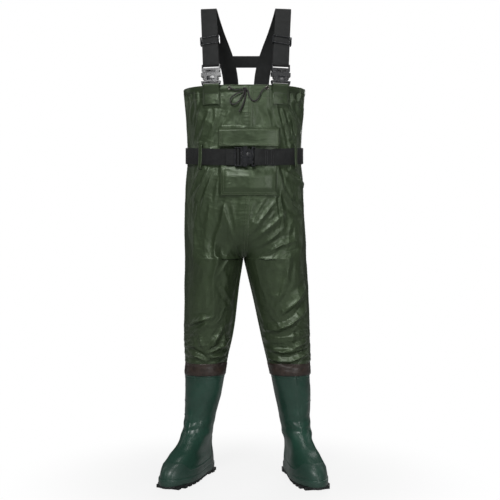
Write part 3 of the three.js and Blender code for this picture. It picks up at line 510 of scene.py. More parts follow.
def relief(side, u, z):
    """How far the cloth's folds stand out from its smooth shape."""
    u, z = np.broadcast_arrays(np.asarray(u, float), np.asarray(z, float))
    s = u * GIRTH
    seed = 3 if side == "left" else 8
    total = np.zeros(u.shape)
    for back in (False, True):
        part = sum(fold_relief(s, z, *fold) for fold in _lines[(side, back)])
        total += part * (smooth((u - 0.46) / 0.08) if back else smooth((0.54 - u) / 0.08))
    for k, (level, height, width, tilt, turn) in enumerate(BUNCHES[side]):
        wave = np.cos(2 * np.pi * (u - turn)) * tilt + 3.5 * np.sin(2 * np.pi * (2 * u + turn + 0.3 * k))
        rough = 0.75 + 0.35 * np.sin(2 * np.pi * (3 * u + 0.37 * k + turn))
        r = (z - level - wave) / width
        total += height * rough * (np.exp(-1.4 * (np.sqrt(r * r + 0.08) - 0.28)) - 0.35)
    # gathers that the drawcord draws up, deepest at the sides and the back
    top = smooth((z - (BIB_TOP - 120)) / 110) ** 1.5
    gathered = 0.35 + 0.65 * smooth((u - 0.16) / 0.16)
    total += 2.6 * top * gathered * np.sin(s / 6.1 + 1.4 * noise(s / 60, z / 90, seed + 5))
    # small crumples, drawn out downwards on the trunk and across the leg near the boot
    low = smooth((520 - z) / 120)
    fine = creases(s / mix(24, 60, low) + 0.3 * z / 60, z / mix(64, 26, low), seed) - 0.4
    finer = creases(s / 15 + 7.3, z / mix(34, 17, low) + 0.2 * s / 30, seed + 1) - 0.4
    broad = noise(s / 70, z / 120, seed + 2)
    total += 1.5 * fine + 0.6 * finer + 1.6 * broad
    flat = calm(side, u, z)
    total = np.where(total > 0, total * (1 - flat), total * (1 - 0.7 * flat))
    # down to the welded tape and the seams, which stay where they are sewn
    total *= smooth((z - BOOT_TOP - 2) / 26)
    at_seam = smooth(np.minimum(u, 1 - u) / 0.035)
    at_side = mix(0.45, 1.0, smooth(np.abs(u - 0.5) / 0.03))
    total *= at_seam * at_side
    pucker = np.sin(2 * np.pi * z / 10.5 + 2.2 * noise(z / 40, z * 0 + 0.5, 4))
    edge = np.minimum(np.minimum(u, 1 - u), np.abs(u - 0.5)) * GIRTH
    total += 0.15 * pucker * np.exp(-((edge / 9) ** 2)) * (1 - flat) * smooth((z - BOOT_TOP) / 20)
    # the hem's channel keeps the cord inside it
    deepest = mix(-9.0, -1.0, boxed(z, CORD_LINE - 9, BIB_TOP + 9, 10))
    return np.clip(1.25 * total, deepest, 10.5)


def cloth(side, u, z, out=0.0):
    """A point of the folded cloth's outer face, moved out by a distance."""
    base = garment(side, u, z)
    lift = relief(side, u, z) + out
    return base + garment_normal(side, u, z) * np.asarray(lift)[..., None]


def folded_normal(side, u, z):
    """The normal of the folded face, over a few millimetres."""
    e = 0.004
    u, z = np.broadcast_arrays(np.asarray(u, float), np.asarray(z, float))
    along_u = cloth(side, np.minimum(u + e, 1), z) - cloth(side, np.maximum(u - e, 0), z)
    along_z = cloth(side, u, z + 2) - cloth(side, u, z - 2)
    return facing_out(side, along_u, along_z)


# ---- Making meshes ---------------------------------------------------------------------------------


def to_row(points):
    p = np.array(points, float).reshape(-1, 3) * MM
    p[:, 2] -= SHOULDER_TOP * MM
    return p


def make_piece(name, points, faces, materials, uv=None, face_material=None, normals=None):
    """A mesh piece from points in millimetres. uv is one pair for each point of points."""
    mesh = bpy.data.meshes.new(name)
    mesh.from_pydata(to_row(points).tolist(), [], [tuple(int(i) for i in f) for f in faces])
    for m in materials:
        mesh.materials.append(m)
    if uv is not None:
        layer = mesh.uv_layers.new(name="UVMap")
        corners = np.concatenate([np.asarray(f, int) for f in faces])
        layer.data.foreach_set("uv", (np.asarray(uv, float)[corners] * MM).astype(np.float32).ravel())
    if face_material is not None:
        mesh.polygons.foreach_set("material_index", np.asarray(face_material, np.int32))
    mesh.polygons.foreach_set("use_smooth", np.ones(len(mesh.polygons), bool))
    piece = bpy.data.objects.new(name, mesh)
    bpy.context.scene.collection.objects.link(piece)
    if normals is not None:
        mesh.normals_split_custom_set_from_vertices(np.asarray(normals, float).tolist())
    mesh.update()
    return piece


def volume_of(points, faces):
    total = 0.0
    for f in faces:
        f = np.asarray(f, int)
        for i in range(1, len(f) - 1):
            total += np.dot(points[f[0]], np.cross(points[f[i]], points[f[i + 1]]))
    return total


def layered(outer, inner, uv, joined=None):
    """A closed sheet between two grids. joined says which rows' first and last columns are one."""
    rows, cols = outer.shape[:2]
    n = rows * cols
    o = np.arange(n).reshape(rows, cols)
    i = o + n
    joined = np.zeros(rows, bool) if joined is None else np.asarray(joined, bool)
    grid = np.stack([o[:-1, :-1], o[:-1, 1:], o[1:, 1:], o[1:, :-1]], -1).reshape(-1, 4)
    under = np.stack([i[1:, :-1], i[1:, 1:], i[:-1, 1:], i[:-1, :-1]], -1).reshape(-1, 4)
    rim = [
        np.stack([o[0, 1:], o[0, :-1], i[0, :-1], i[0, 1:]], -1),
        np.stack([o[-1, :-1], o[-1, 1:], i[-1, 1:], i[-1, :-1]], -1),
    ]
    open_rows = np.nonzero(~(joined[:-1] & joined[1:]))[0]
    if len(open_rows):
        r = open_rows
        rim.append(np.stack([o[r, 0], o[r + 1, 0], i[r + 1, 0], i[r, 0]], -1))
        rim.append(np.stack([o[r + 1, -1], o[r, -1], i[r, -1], i[r + 1, -1]], -1))
    rim = np.concatenate(rim)
    faces = np.concatenate([grid, under, rim])
    kind = np.concatenate([np.zeros(len(grid)), np.ones(len(under)), np.zeros(len(rim))]).astype(int)
    points = np.concatenate([outer.reshape(-1, 3), inner.reshape(-1, 3)])
    uv = np.concatenate([uv.reshape(-1, 2), uv.reshape(-1, 2)])
    corner_uv = uv[faces]
    weld = np.arange(2 * n)
    for layer in (o, i):
        weld[layer[joined, -1]] = layer[joined, 0]
    faces = weld[faces]
    q = points[faces[: len(grid)]]
    area = np.cross(q[:, 2] - q[:, 0], q[:, 3] - q[:, 1])
    outward = ((outer - inner).reshape(-1, 3)[grid[:, 0]] * area).sum()
    if outward < 0:
        faces, corner_uv = faces[:, ::-1], corner_uv[:, ::-1]
    used, compact = np.unique(faces, return_inverse=True)
    return points[used], compact.reshape(faces.shape), corner_uv, kind, used


def make_sheet(name, outer, inner, uv, materials, joined=None, normals=None):
    """A cloth piece from two grids; normals are the outer grid's, and the inner face takes the opposite."""
    points, faces, corner_uv, kind, used = layered(outer, inner, uv, joined)
    mesh = bpy.data.meshes.new(name)
    mesh.from_pydata(to_row(points).tolist(), [], faces.tolist())
    for m in materials:
        mesh.materials.append(m)
    layer = mesh.uv_layers.new(name="UVMap")
    layer.data.foreach_set("uv", (corner_uv.reshape(-1, 2) * MM).astype(np.float32).ravel())
    if len(materials) > 1:
        mesh.polygons.foreach_set("material_index", kind.astype(np.int32))
    mesh.polygons.foreach_set("use_smooth", np.ones(len(mesh.polygons), bool))
    if normals is not None:
        flat = normals.reshape(-1, 3)
        both = np.concatenate([flat, -flat])[used]
        mesh.normals_split_custom_set_from_vertices(both.tolist())
    mesh.update()
    piece = bpy.data.objects.new(name, mesh)
    bpy.context.scene.collection.objects.link(piece)
    return piece


def grid_normals(points):
    """Normals of a grid of points, by differences."""
    return unit(np.cross(np.gradient(points, axis=1), np.gradient(points, axis=0)))


def soft_edges(outer, inner, share=0.32):
    """Rounds a sheet's border by drawing its two faces together there."""
    outer, inner = outer.copy(), inner.copy()
    for pick in ((0, slice(None)), (-1, slice(None)), (slice(1, -1), 0), (slice(1, -1), -1)):
        a, b = outer[pick].copy(), inner[pick].copy()
        outer[pick], inner[pick] = mix(a, b, share), mix(b, a, share)
    return outer, inner


def flat_uv(rows, cols):
    """Rows and columns in millimetres as a grid of uv pairs."""
    v, u = np.meshgrid(rows, cols, indexing="ij")
    return np.stack([u, v], -1)


def ring_faces(count, columns, loop=False):
    """Faces between closed rings of points; with loop, the last ring meets the first."""
    faces = []
    for i in range(count if loop else count - 1):
        n = (i + 1) % count
        for j in range(columns):
            e = (j + 1) % columns
            faces.append((i * columns + j, i * columns + e, n * columns + e, n * columns + j))
    return faces


def swept_faces(count, columns, across, along):
    """Faces of a swept solid's side with their corners' uv: across it by column and along it by ring."""
    faces, uv = ring_faces(count, columns), []
    for i in range(count - 1):
        for j in range(columns):
            uv += [(across[j], along[i]), (across[j + 1], along[i])]
            uv += [(across[j + 1], along[i + 1]), (across[j], along[i + 1])]
    return faces, uv


def facing_outwards(points, faces, uv):
    """The faces and their corners' uv, turned over if the solid is inside out."""
    if volume_of(points, faces) >= 0:
        return faces, uv
    turned, corners, at = [], [], 0
    for face in faces:
        corners += uv[at : at + len(face)][::-1]
        at += len(face)
        turned.append(face[::-1])
    return turned, corners


def make_swept(name, points, faces, uv, material):
    """A piece swept along a line, with a uv pair in millimetres for each corner of each face."""
    faces, uv = facing_outwards(points, faces, uv)
    piece = make_piece(name, points, faces, [material])
    layer = piece.data.uv_layers.new(name="UVMap")
    layer.data.foreach_set("uv", (np.array(uv, float) * MM).astype(np.float32).ravel())
    return piece


def ribbon(name, line, across, material, width=WEB, thick=WEB_THICK):
    """Webbing along a line, with round edges; u runs across it and v along it."""
    line = np.asarray(line, float)
    tangent = unit(np.gradient(line, axis=0))
    w = np.broadcast_to(np.asarray(across, float), line.shape)
    w = unit(w - (w * tangent).sum(1, keepdims=True) * tangent)
    n = np.cross(tangent, w)
    r = thick * 0.42
    h, t = width / 2 - r, thick / 2 - r
    section = []
    for cx, cy, start in ((h, t, 0), (-h, t, 90), (-h, -t, 180), (h, -t, 270)):
        for turn in (0, 30, 60, 90):
            a = math.radians(start + turn)
            section.append((cx + r * math.cos(a), cy + r * math.sin(a)))
    section = np.array(section)
    m, k = len(line), len(section)
    points = line[:, None] + w[:, None] * section[None, :, :1] + n[:, None] * section[None, :, 1:]
    run = run_of(line)
    girth = run_of(np.vstack([section, section[:1]]))
    faces, uv = swept_faces(m, k, girth, run)
    faces.append(tuple(range(k))[::-1])
    uv += [(section[j][0] + width / 2, run[0] + section[j][1]) for j in range(k)][::-1]
    faces.append(tuple((m - 1) * k + j for j in range(k)))
    uv += [(section[j][0] + width / 2, run[-1] + section[j][1]) for j in range(k)]
    return make_swept(name, points.reshape(-1, 3), faces, uv, material)


def tube(name, line, radius, material, sides=12):
    """A round cord along a line, with domed ends; u runs round it and v along it."""
    line = np.asarray(line, float)
    tangent = unit(np.gradient(line, axis=0))
    normal = np.zeros_like(line)
    first = np.cross(tangent[0], (0, 0, 1)) if abs(tangent[0][2]) < 0.9 else np.cross(tangent[0], (1, 0, 0))
    normal[0] = unit(first)
    for i in range(1, len(line)):
        n = normal[i - 1] - np.dot(normal[i - 1], tangent[i]) * tangent[i]
        normal[i] = unit(n)
    binormal = np.cross(tangent, normal)
    last = len(line) - 1
    dome = ((0.7, 0.45), (0.3, 0.85))  # past the end and girth, as shares of the radius
    rings = [(line[0] - tangent[0] * radius * past, 0, scale) for past, scale in dome]
    rings += [(p, i, 1.0) for i, p in enumerate(line)]
    rings += [(line[-1] + tangent[-1] * radius * past, last, scale) for past, scale in dome[::-1]]
    a = 2 * np.pi * np.arange(sides) / sides
    points, run = [], [0.0]
    for k, (p, i, scale) in enumerate(rings):
        ring = p + radius * scale * (np.cos(a)[:, None] * normal[i] + np.sin(a)[:, None] * binormal[i])
        points.append(ring)
        if k:
            run.append(run[-1] + np.linalg.norm(p - rings[k - 1][0]))
    points = np.concatenate(points)
    m = len(rings)
    wrap = 2 * np.pi * radius / sides
    faces, uv = swept_faces(m, sides, [j * wrap for j in range(sides + 1)], run)
    faces.append(tuple(range(sides))[::-1])
    uv += [(j * wrap, 0.0) for j in range(sides)]
    faces.append(tuple((m - 1) * sides + j for j in range(sides)))
    uv += [(j * wrap, run[-1]) for j in range(sides)]
    return make_swept(name, points, faces, uv, material)


# ---- Materials -------------------------------------------------------------------------------------


class Finish:
    """A material's node tree, with short calls for what the finishes here share."""

    def __init__(self, name, color, roughness, metallic=0.0):
        self.material = bpy.data.materials.new(name)
        self.material.use_nodes = True
        self.nodes = self.material.node_tree.nodes
        self.links = self.material.node_tree.links
        self.shader = self.nodes["Principled BSDF"]
        self.shader.inputs["Base Color"].default_value = (*color, 1)
        self.shader.inputs["Roughness"].default_value = roughness
        self.shader.inputs["Metallic"].default_value = metallic
        self.coords = self.nodes.new("ShaderNodeTexCoord")

    def set(self, **values):
        for name, value in values.items():
            self.shader.inputs[name.replace("_", " ")].default_value = value
        return self

    def space(self, source, scale=(1, 1, 1), turn=0.0):
        node = self.nodes.new("ShaderNodeMapping")
        node.inputs["Scale"].default_value = scale
        node.inputs["Rotation"].default_value = (0, 0, turn)
        self.links.new(self.coords.outputs[source], node.inputs["Vector"])
        return node.outputs["Vector"]

    def noise(self, vector, scale, detail=3.0, rough=0.55, distortion=0.0, ridged=False):
        node = self.nodes.new("ShaderNodeTexNoise")
        if ridged:
            node.noise_type = "RIDGED_MULTIFRACTAL"
        node.inputs["Scale"].default_value = scale
        node.inputs["Detail"].default_value = detail
        node.inputs["Roughness"].default_value = rough
        node.inputs["Distortion"].default_value = distortion
        self.links.new(vector, node.inputs["Vector"])
        return node.outputs["Fac"]

    def bands(self, vector, period, along="X", shape="SIN"):
        """Stripes a period apart, in the vector's own units."""
        node = self.nodes.new("ShaderNodeTexWave")
        node.wave_type = "BANDS"
        node.bands_direction = along
        node.wave_profile = shape
        node.inputs["Scale"].default_value = math.pi / 10 / period
        node.inputs["Distortion"].default_value = 0.0
        self.links.new(vector, node.inputs["Vector"])
        return node.outputs["Fac"]

    def math(self, kind, a, b=0.5):
        node = self.nodes.new("ShaderNodeMath")
        node.operation = kind
        for socket, value in zip(node.inputs, (a, b)):
            if isinstance(value, (int, float)):
                socket.default_value = value
            else:
                self.links.new(value, socket)
        return node.outputs["Value"]

    def ramp(self, fac, stops):
        """A colour ramp through (place, colour) stops."""
        node = self.nodes.new("ShaderNodeValToRGB")
        while len(node.color_ramp.elements) < len(stops):
            node.color_ramp.elements.new(0.5)
        for element, (place, color) in zip(node.color_ramp.elements, stops):
            element.position = place
            element.color = (*color, 1)
        self.links.new(fac, node.inputs["Fac"])
        return node.outputs["Color"]

    def span(self, fac, low, high):
        """fac from 0 to 1 turned to low to high."""
        node = self.nodes.new("ShaderNodeMapRange")
        node.inputs["To Min"].default_value = low
        node.inputs["To Max"].default_value = high
        self.links.new(fac, node.inputs["Value"])
        return node.outputs["Result"]

    def bump(self, height, distance, strength=1.0):
        """Adds a bump, a height in metres at fac 1, under the ones before."""
        node = self.nodes.new("ShaderNodeBump")
        node.inputs["Strength"].default_value = strength
        node.inputs["Distance"].default_value = distance
        self.links.new(height, node.inputs["Height"])
        before = self.shader.inputs["Normal"].links
        if before:
            self.links.new(before[0].from_socket, node.inputs["Normal"])
        self.links.new(node.outputs["Normal"], self.shader.inputs["Normal"])
        return self

    def color(self, socket):
        self.links.new(socket, self.shader.inputs["Base Color"])
        return self

    def roughness(self, socket):
        self.links.new(socket, self.shader.inputs["Roughness"])
        return self


def tint(color, share):
    return tuple(c * share for c in color)


def coated_cloth(name, color, source="UV", rough=0.4):
    """Coated nylon taffeta: a fine plain weave, a satin coat, faint creases and uneven colour."""
    f = Finish(name, color, rough)
    f.set(Coat_Weight=0.25, Coat_Roughness=0.3, Coat_Tint=(0.82, 1.0, 0.72, 1))
    f.set(Specular_Tint=(0.8, 1.0, 0.7, 1))
    flat = f.space(source)
    patches = f.noise(f.space(source, (1, 0.6, 1)), 9, 4, 0.6, 0.4)
    f.color(f.ramp(patches, [(0.3, tint(color, 0.78)), (0.52, color), (0.72, tint(color, 1.32))]))
    f.roughness(f.span(f.noise(flat, 38, 3), rough - 0.07, rough + 0.09))
    f.bump(f.noise(f.space(source, (1, 0.55, 1), 0.5), 26, 3, 0.5, 0.6, ridged=True), 0.0034)
    f.bump(f.noise(f.space(source, (0.5, 1, 1), -0.4), 70, 2, 0.5, 0.4, ridged=True), 0.0012)
    thread = 0.00042
    f.bump(f.math("MULTIPLY", f.bands(flat, thread, "X"), f.bands(flat, thread, "Y")), 0.00005)
    return f.material


def woven_web(name, color):
    """Flat webbing: lengthwise ribs crossed by a fine weft."""
    f = Finish(name, color, 0.62)
    f.set(Sheen_Weight=0.04, Specular_IOR_Level=0.3)
    flat = f.space("UV")
    wear = f.noise(flat, 45, 4, 0.6)
    f.color(f.ramp(wear, [(0.3, tint(color, 0.7)), (0.55, color), (0.8, tint(color, 1.7))]))
    ribs = f.bands(flat, 0.0017, "X")
    weft = f.bands(f.space("UV", (1, 1, 1), 0.5), 0.0011, "Y")
    f.bump(f.math("ADD", f.math("MULTIPLY", ribs, 0.6), f.math("MULTIPLY", weft, 0.4)), 0.00035)
    f.roughness(f.span(weft, 0.55, 0.75))
    return f.material


def braided_cord(name, color):
    f = Finish(name, color, 0.6)
    f.set(Sheen_Weight=0.04)
    right = f.bands(f.space("UV", (1, 0.7, 1), 0.6), 0.0012, "X")
    left = f.bands(f.space("UV", (1, 0.7, 1), -0.6), 0.0012, "X")
    f.color(f.ramp(f.math("MAXIMUM", right, left), [(0.2, tint(color, 0.5)), (0.8, tint(color, 1.5))]))
    f.bump(f.math("MAXIMUM", right, left), 0.0003)
    return f.material


def moulded_plastic(name, color):
    """Glossy acetal with a faint moulded grain and scuffs."""
    f = Finish(name, color, 0.24)
    f.set(Coat_Weight=0.25, Coat_Roughness=0.12)
    at = f.space("Object")
    f.color(f.ramp(f.noise(at, 60, 3), [(0.35, tint(color, 0.8)), (0.7, tint(color, 1.35))]))
    f.roughness(f.span(f.noise(at, 120, 4, 0.65), 0.2, 0.36))
    f.bump(f.noise(at, 600, 2), 0.00001)
    return f.material


def boot_pvc(name, color, rough=0.34):
    """Moulded PVC: satin, slightly uneven, mottled where it has been handled."""
    f = Finish(name, color, rough)
    f.set(Coat_Weight=0.12, Coat_Roughness=0.2)
    at = f.space("Object")
    shade = f.noise(at, 7, 5, 0.62, 0.5)
    f.color(f.ramp(shade, [(0.28, tint(color, 0.72)), (0.5, color), (0.75, tint(color, 1.4))]))
    f.roughness(f.span(f.noise(at, 30, 4, 0.6), rough - 0.08, rough + 0.14))
    f.bump(f.noise(at, 16, 3, 0.5), 0.0012)
    f.bump(f.noise(at, 420, 2), 0.00008)
    return f.material


def sole_rubber(name, color):
    f = Finish(name, color, 0.55)
    at = f.space("Object")
    f.color(f.ramp(f.noise(at, 24, 5, 0.65), [(0.3, tint(color, 0.7)), (0.75, tint(color, 1.9))]))
    f.roughness(f.span(f.noise(at, 60, 3), 0.42, 0.72))
    f.bump(f.noise(at, 260, 3), 0.0002)
    return f.material


def seam_tape(name, color):
    """The welded band where cloth meets boot: rubbery, rippled and uneven in colour."""
    f = Finish(name, color, 0.38)
    flat = f.space("UV")
    f.color(f.ramp(f.noise(flat, 60, 4, 0.6), [(0.3, tint(color, 0.6)), (0.7, tint(color, 1.5))]))
    f.roughness(f.span(f.noise(flat, 90, 3), 0.28, 0.55))
    f.bump(f.noise(f.space("UV", (0.3, 1, 1)), 160, 3), 0.0005)
    return f.material


def dull_metal(name, color):
    f = Finish(name, color, 0.32, 1.0)
    at = f.space("Object")
    f.color(f.ramp(f.noise(at, 300, 4), [(0.3, tint(color, 0.55)), (0.7, color)]))
    f.roughness(f.span(f.noise(at, 500, 3), 0.22, 0.5))
    f.bump(f.noise(at, 900, 2), 0.00004)
    return f.material


def felt(name, color):
    f = Finish(name, color, 0.95)
    f.set(Sheen_Weight=0.4)
    at = f.space("Object")
    f.color(f.ramp(f.noise(at, 380, 5, 0.7), [(0.3, tint(color, 0.6)), (0.7, tint(color, 1.3))]))
    f.bump(f.noise(at, 900, 4, 0.7), 0.0006)
    return f.material


def thread(name, color):
    f = Finish(name, color, 0.5)
    f.set(Sheen_Weight=0.2)
    at = f.space("Object")
    f.color(f.ramp(f.noise(at, 700, 2), [(0.3, tint(color, 0.7)), (0.7, tint(color, 1.3))]))
    f.bump(f.bands(f.space("Object", (1, 1, 1), 0.7), 0.0004, "X"), 0.0001)
    return f.material


def hook_and_loop(name, color):
    f = Finish(name, color, 0.85)
    at = f.space("Object")
    dots = f.noise(at, 900, 2, 0.7)
    f.color(f.ramp(dots, [(0.35, tint(color, 0.4)), (0.65, tint(color, 1.6))]))
    f.bump(dots, 0.0009)
    return f.material


OLIVE = (0.034, 0.047, 0.026)
CLOTH_OUT = coated_cloth("olive coated cloth", OLIVE)
CLOTH_IN = coated_cloth("grey coated inside", (0.020, 0.023, 0.018), rough=0.55)
WEBBING = woven_web("black webbing", (0.011, 0.012, 0.012))
CORD_BRAID = braided_cord("black braided cord", (0.018, 0.015, 0.016))
PLASTIC = moulded_plastic("black buckle plastic", (0.012, 0.013, 0.015))
PVC = boot_pvc("teal boot pvc", (0.016, 0.056, 0.038))
PVC_BAND = boot_pvc("pale teal foxing", (0.023, 0.060, 0.044), 0.40)
PVC_HEEL = boot_pvc("dark heel counter", (0.018, 0.040, 0.031), 0.42)
RUBBER = sole_rubber("black sole rubber", (0.008, 0.010, 0.010))
LINING = felt("boot lining", (0.10, 0.10, 0.085))
TAPE = seam_tape("brown seam tape", (0.034, 0.023, 0.018))
METAL = dull_metal("dulled eyelet metal", (0.20, 0.19, 0.17))
INSOLE = felt("grey insole felt", (0.13, 0.12, 0.10))
THREAD = thread("olive thread", (0.15, 0.18, 0.11))
BLACK_THREAD = thread("black thread", (0.03, 0.03, 0.032))
FASTENER = hook_and_loop("hook and loop", (0.02, 0.024, 0.016))

# ---- Riding on the frame ---------------------------------------------------------------------------


def finish_piece(piece, replaces=(), body=None, blend=None):
    """Hides the CAD nodes a piece stands for and ties the piece to its body; a piece across a joint stays
    unparented, its place baked into its mesh.
    """
    if replaces:
        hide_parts(*replaces)
    if blend:
        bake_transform(piece)
    else:
        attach(piece, body)
    return piece


def row(x, y, z):
    """A point in the frame, from millimetres above the ground."""
    return (x * MM, y * MM, (z - SHOULDER_TOP) * MM)


def hip_blend(side):
    """The trunk and the thigh that cloth spans at the hip, with the span's ends above and below the groin
    line.
    """
    s = SIGN[side]
    reach = 95.0
    return {
        "a": "bib", "b": f"{side}_thigh",
        "start": row(s * (8 - 0.6 * reach), 0, CROTCH + 0.8 * reach),
        "end": row(s * (8 + 0.6 * reach), 0, CROTCH - 0.8 * reach),
    }


def knee_blend(side):
    return {
        "a": f"{side}_thigh", "b": f"{side}_lower_leg",
        "start": row(0, 0, KNEE + 64), "end": row(0, 0, KNEE - 64),
    }


KNEE_SPLIT = KNEE + 66.0

# ---- Cords -----------------------------------------------------------------------------------------
# The drawcord runs inside the hem, comes out of two eyelets and is tied in a half bow at the front.

EYELET_X = {"left": -50.0, "right": 66.0}
KNOT_PLACE = (-3.0, 1209.0, 6.0)  # x, height and how far it stands off the bib
KNOT_SIZE = (1.55, 1.9, 2.5)


def cord_out(x, z, out=4.5):
    return on_front(x, z, out)


CORD_ROUTES = {
    "left_run": [
        cord_out(-50, CORD_LINE, -3.4), cord_out(-50, CORD_LINE, 2.5), cord_out(-44, 1212, 5),
        cord_out(-30, 1208), cord_out(-11, 1210, 5.5),
    ],
    "right_run": [
        cord_out(5, 1208, 5.5), cord_out(9, 1194), cord_out(15, 1180), cord_out(25, 1173),
        cord_out(36, 1179), cord_out(43, 1193), cord_out(50, 1206), cord_out(58, 1213.5, 5.5),
        cord_out(64.5, 1215.5, 5.5), cord_out(66, CORD_LINE, 1), cord_out(66, CORD_LINE, -3.4),
    ],
    "loop": [
        cord_out(-9.0, 1203.3, 6), cord_out(-22, 1199, 5.5), cord_out(-37, 1191), cord_out(-47, 1180),
        cord_out(-46, 1168), cord_out(-35, 1164), cord_out(-24, 1171), cord_out(-13, 1185, 5),
        cord_out(-4.9, 1199.6, 6),
    ],
    "tail": [cord_out(0, 1199.9, 6), cord_out(-3, 1182), cord_out(-10, 1160), cord_out(-20, 1142)],
}
CORD_EASE = {"left_run": 40, "right_run": 60, "loop": 14, "tail": 0}  # rounds of smoothing


def eased(line, rounds):
    """The line with its bends opened out, and its ends where they were."""
    line = spaced(line, 1.0)
    for _ in range(rounds):
        line[1:-1] = 0.5 * line[1:-1] + 0.25 * (line[:-2] + line[2:])
    return line


for name, points in CORD_ROUTES.items():
    line = eased(catmull(points, 1.2), CORD_EASE[name])
    piece = tube(f"cord_{name}", line, CORD / 2, CORD_BRAID)
    finish_piece(piece, [f"drawcord_{name}"], body="bib")
    tuple(to_row(line[:1])[0])
    to_row(line).tolist()


def drawcord_knot():
    """A tight knot: one strand wound through itself."""
    t = np.linspace(0, 2 * np.pi, 90, endpoint=False)
    x = np.sin(t) + 2 * np.sin(2 * t)
    z = np.cos(t) - 2 * np.cos(2 * t)
    y = -np.sin(3 * t)
    line = on_front(*KNOT_PLACE) + np.stack([x, y, z], -1) * KNOT_SIZE
    line = np.vstack([line, line[:1]])
    return tube("cord_knot", line, CORD / 2 * 0.95, CORD_BRAID, sides=10)


finish_piece(drawcord_knot(), ["drawcord_knot"], body="bib")

# ---- The garment's cloth ---------------------------------------------------------------------------


def folded_sheet(name, side, us, rows, materials, thick):
    """A piece of the folded cloth over a grid; rows below the crotch close round the leg."""
    u, z = np.meshgrid(us, rows)
    outer = cloth(side, u, z)
    n = folded_normal(side, u, z)
    closed = rows <= CROTCH + 1e-6
    n[closed, 0] = n[closed, -1] = unit(n[closed, 0] + n[closed, -1])
    inner = outer - n * thick
    uv = np.stack([u * GIRTH, z], -1)
    return make_sheet(name, outer, inner, uv, materials, closed, n)


def cloth_rows(low, high, step):
    return np.linspace(high, low, int(round((high - low) / step)) + 1)


COLUMNS = np.linspace(0, 1, 149)
for side in SIDES:
    fork = FORK_TOP - (FORK_TOP - CROTCH) * np.sin(np.linspace(0, np.pi / 2, 27))
    rows = np.concatenate([
        cloth_rows(FORK_TOP, BIB_TOP - 0.4, 4.1)[:-1], fork[:-1], cloth_rows(KNEE_SPLIT, CROTCH, 4.2),
    ])
    body = folded_sheet(f"{side}_body_cloth", side, COLUMNS, rows, [CLOTH_OUT, CLOTH_IN], CLOTH * 0.8)
    finish_piece(
        body,
        [f"{side}_front_panel", f"{side}_back_panel", f"{side}_hip_cloth", f"{side}_thigh"],
        blend=hip_blend(side),
    )
    rows = cloth_rows(BOOT_TOP + 0.3, KNEE_SPLIT, 3.1)
    leg = folded_sheet(f"{side}_leg_cloth", side, COLUMNS, rows, [CLOTH_OUT, CLOTH_IN], CLOTH * 0.8)
    finish_piece(leg, [f"{side}_knee_cloth", f"{side}_shin"], blend=knee_blend(side))


HEM_THICK, HEM_GIRTH = 0.9, 1090.0


def hem_facing():
    """The bib's turned-in top: a rolled edge, the cord's channel and the facing below it."""
    w = np.linspace(0, 1, 241)
    side_of = np.where(w < 0.5, 0, 1)
    profile = [
        (1.6, 0.55), (-0.2, 0.75), (-1.2, 0.1), (-1.7, -1.0), (-1.4, -2.1), (-0.2, -2.7), (1.6, -2.9),
        (4.0, -7.2), (8.0, -8.0), (12.0, -7.0), (16.0, -3.6), (22.0, -2.6), (30.0, -2.4), (40.0, -2.4),
    ]
    outer = np.zeros((len(profile), len(w), 3))
    for k, (below, out) in enumerate(profile):
        z = np.full(len(w), BIB_TOP - below)
        level = np.minimum(z, BIB_TOP - 0.4)
        for index, side in enumerate(SIDES):
            pick = side_of == index
            u = clip01(2 * w[pick] if side == "left" else 2 - 2 * w[pick])
            lift = relief(side, u, level[pick])
            n = garment_normal(side, u, level[pick])
            p = garment(side, u, z[pick]) + n * (lift + out)[:, None]
            p[:, 2] = z[pick]
            outer[k, pick] = p
    return outer, w, np.array(profile)


def make_hem():
    outer, w, profile = hem_facing()
    joined = np.ones(len(profile), bool)
    outer[:, -1] = outer[:, 0]
    n = grid_normals(outer)
    centre = np.array([0, 0, BIB_TOP - 20.0])
    if (n[0] * (outer[0] - centre)).sum() < 0:
        n = -n
    inner = outer - n * HEM_THICK
    inner[:, -1] = inner[:, 0]
    run = np.concatenate([[0], np.cumsum(np.hypot(*np.diff(profile, axis=0).T))])
    uv = np.stack(np.meshgrid(w * HEM_GIRTH, run), -1)
    piece = make_sheet("hem_and_facing", outer, inner, uv, [CLOTH_OUT], joined)
    finish_piece(piece, ["hem_facing"], body="bib")


make_hem()


def path_on_cloth(ends, step):
    """u and height at even steps along (u, height) points."""
    ends = np.array(ends, float)
    run = np.concatenate([[0], np.cumsum(np.hypot(np.diff(ends[:, 0]) * GIRTH, np.diff(ends[:, 1])))])
    at = np.linspace(0, run[-1], max(3, int(run[-1] / step)))
    return np.interp(at, run, ends[:, 0]), np.interp(at, run, ends[:, 1])


SEAM_WIDTH, SEAM_PROUD = 9.0, 0.7
SEAM_BACK = -0.9  # the strip's inner face, inside the cloth


def felled_seam(name, side, ends, blend):
    """A flat-felled seam: a narrow raised strip on the folded cloth through (u, height) points."""
    u, z = path_on_cloth(ends, 3.0)
    across = np.array([-0.5, -0.44, -0.3, 0, 0.3, 0.44, 0.5])
    lifts = np.array([-0.5, 0.55, 1, 1, 1, 0.55, -0.5]) * SEAM_PROUD
    uu = u[:, None] + across[None, :] * SEAM_WIDTH / GIRTH
    zz = np.broadcast_to(z[:, None], uu.shape)
    outer = cloth(side, uu, zz, lifts[None, :])
    inner = cloth(side, uu, zz, np.full(uu.shape, SEAM_BACK))
    uv = np.stack([uu * GIRTH, zz], -1)
    finish_piece(make_sheet(name, outer, inner, uv, [CLOTH_OUT]), blend=blend)


def cloth_line(side, points, out, step=2.0):
    """Points on the folded cloth and the way it faces, through (u, height) points."""
    u, z = path_on_cloth(points, step)
    return cloth(side, u, z, out), folded_normal(side, u, z)


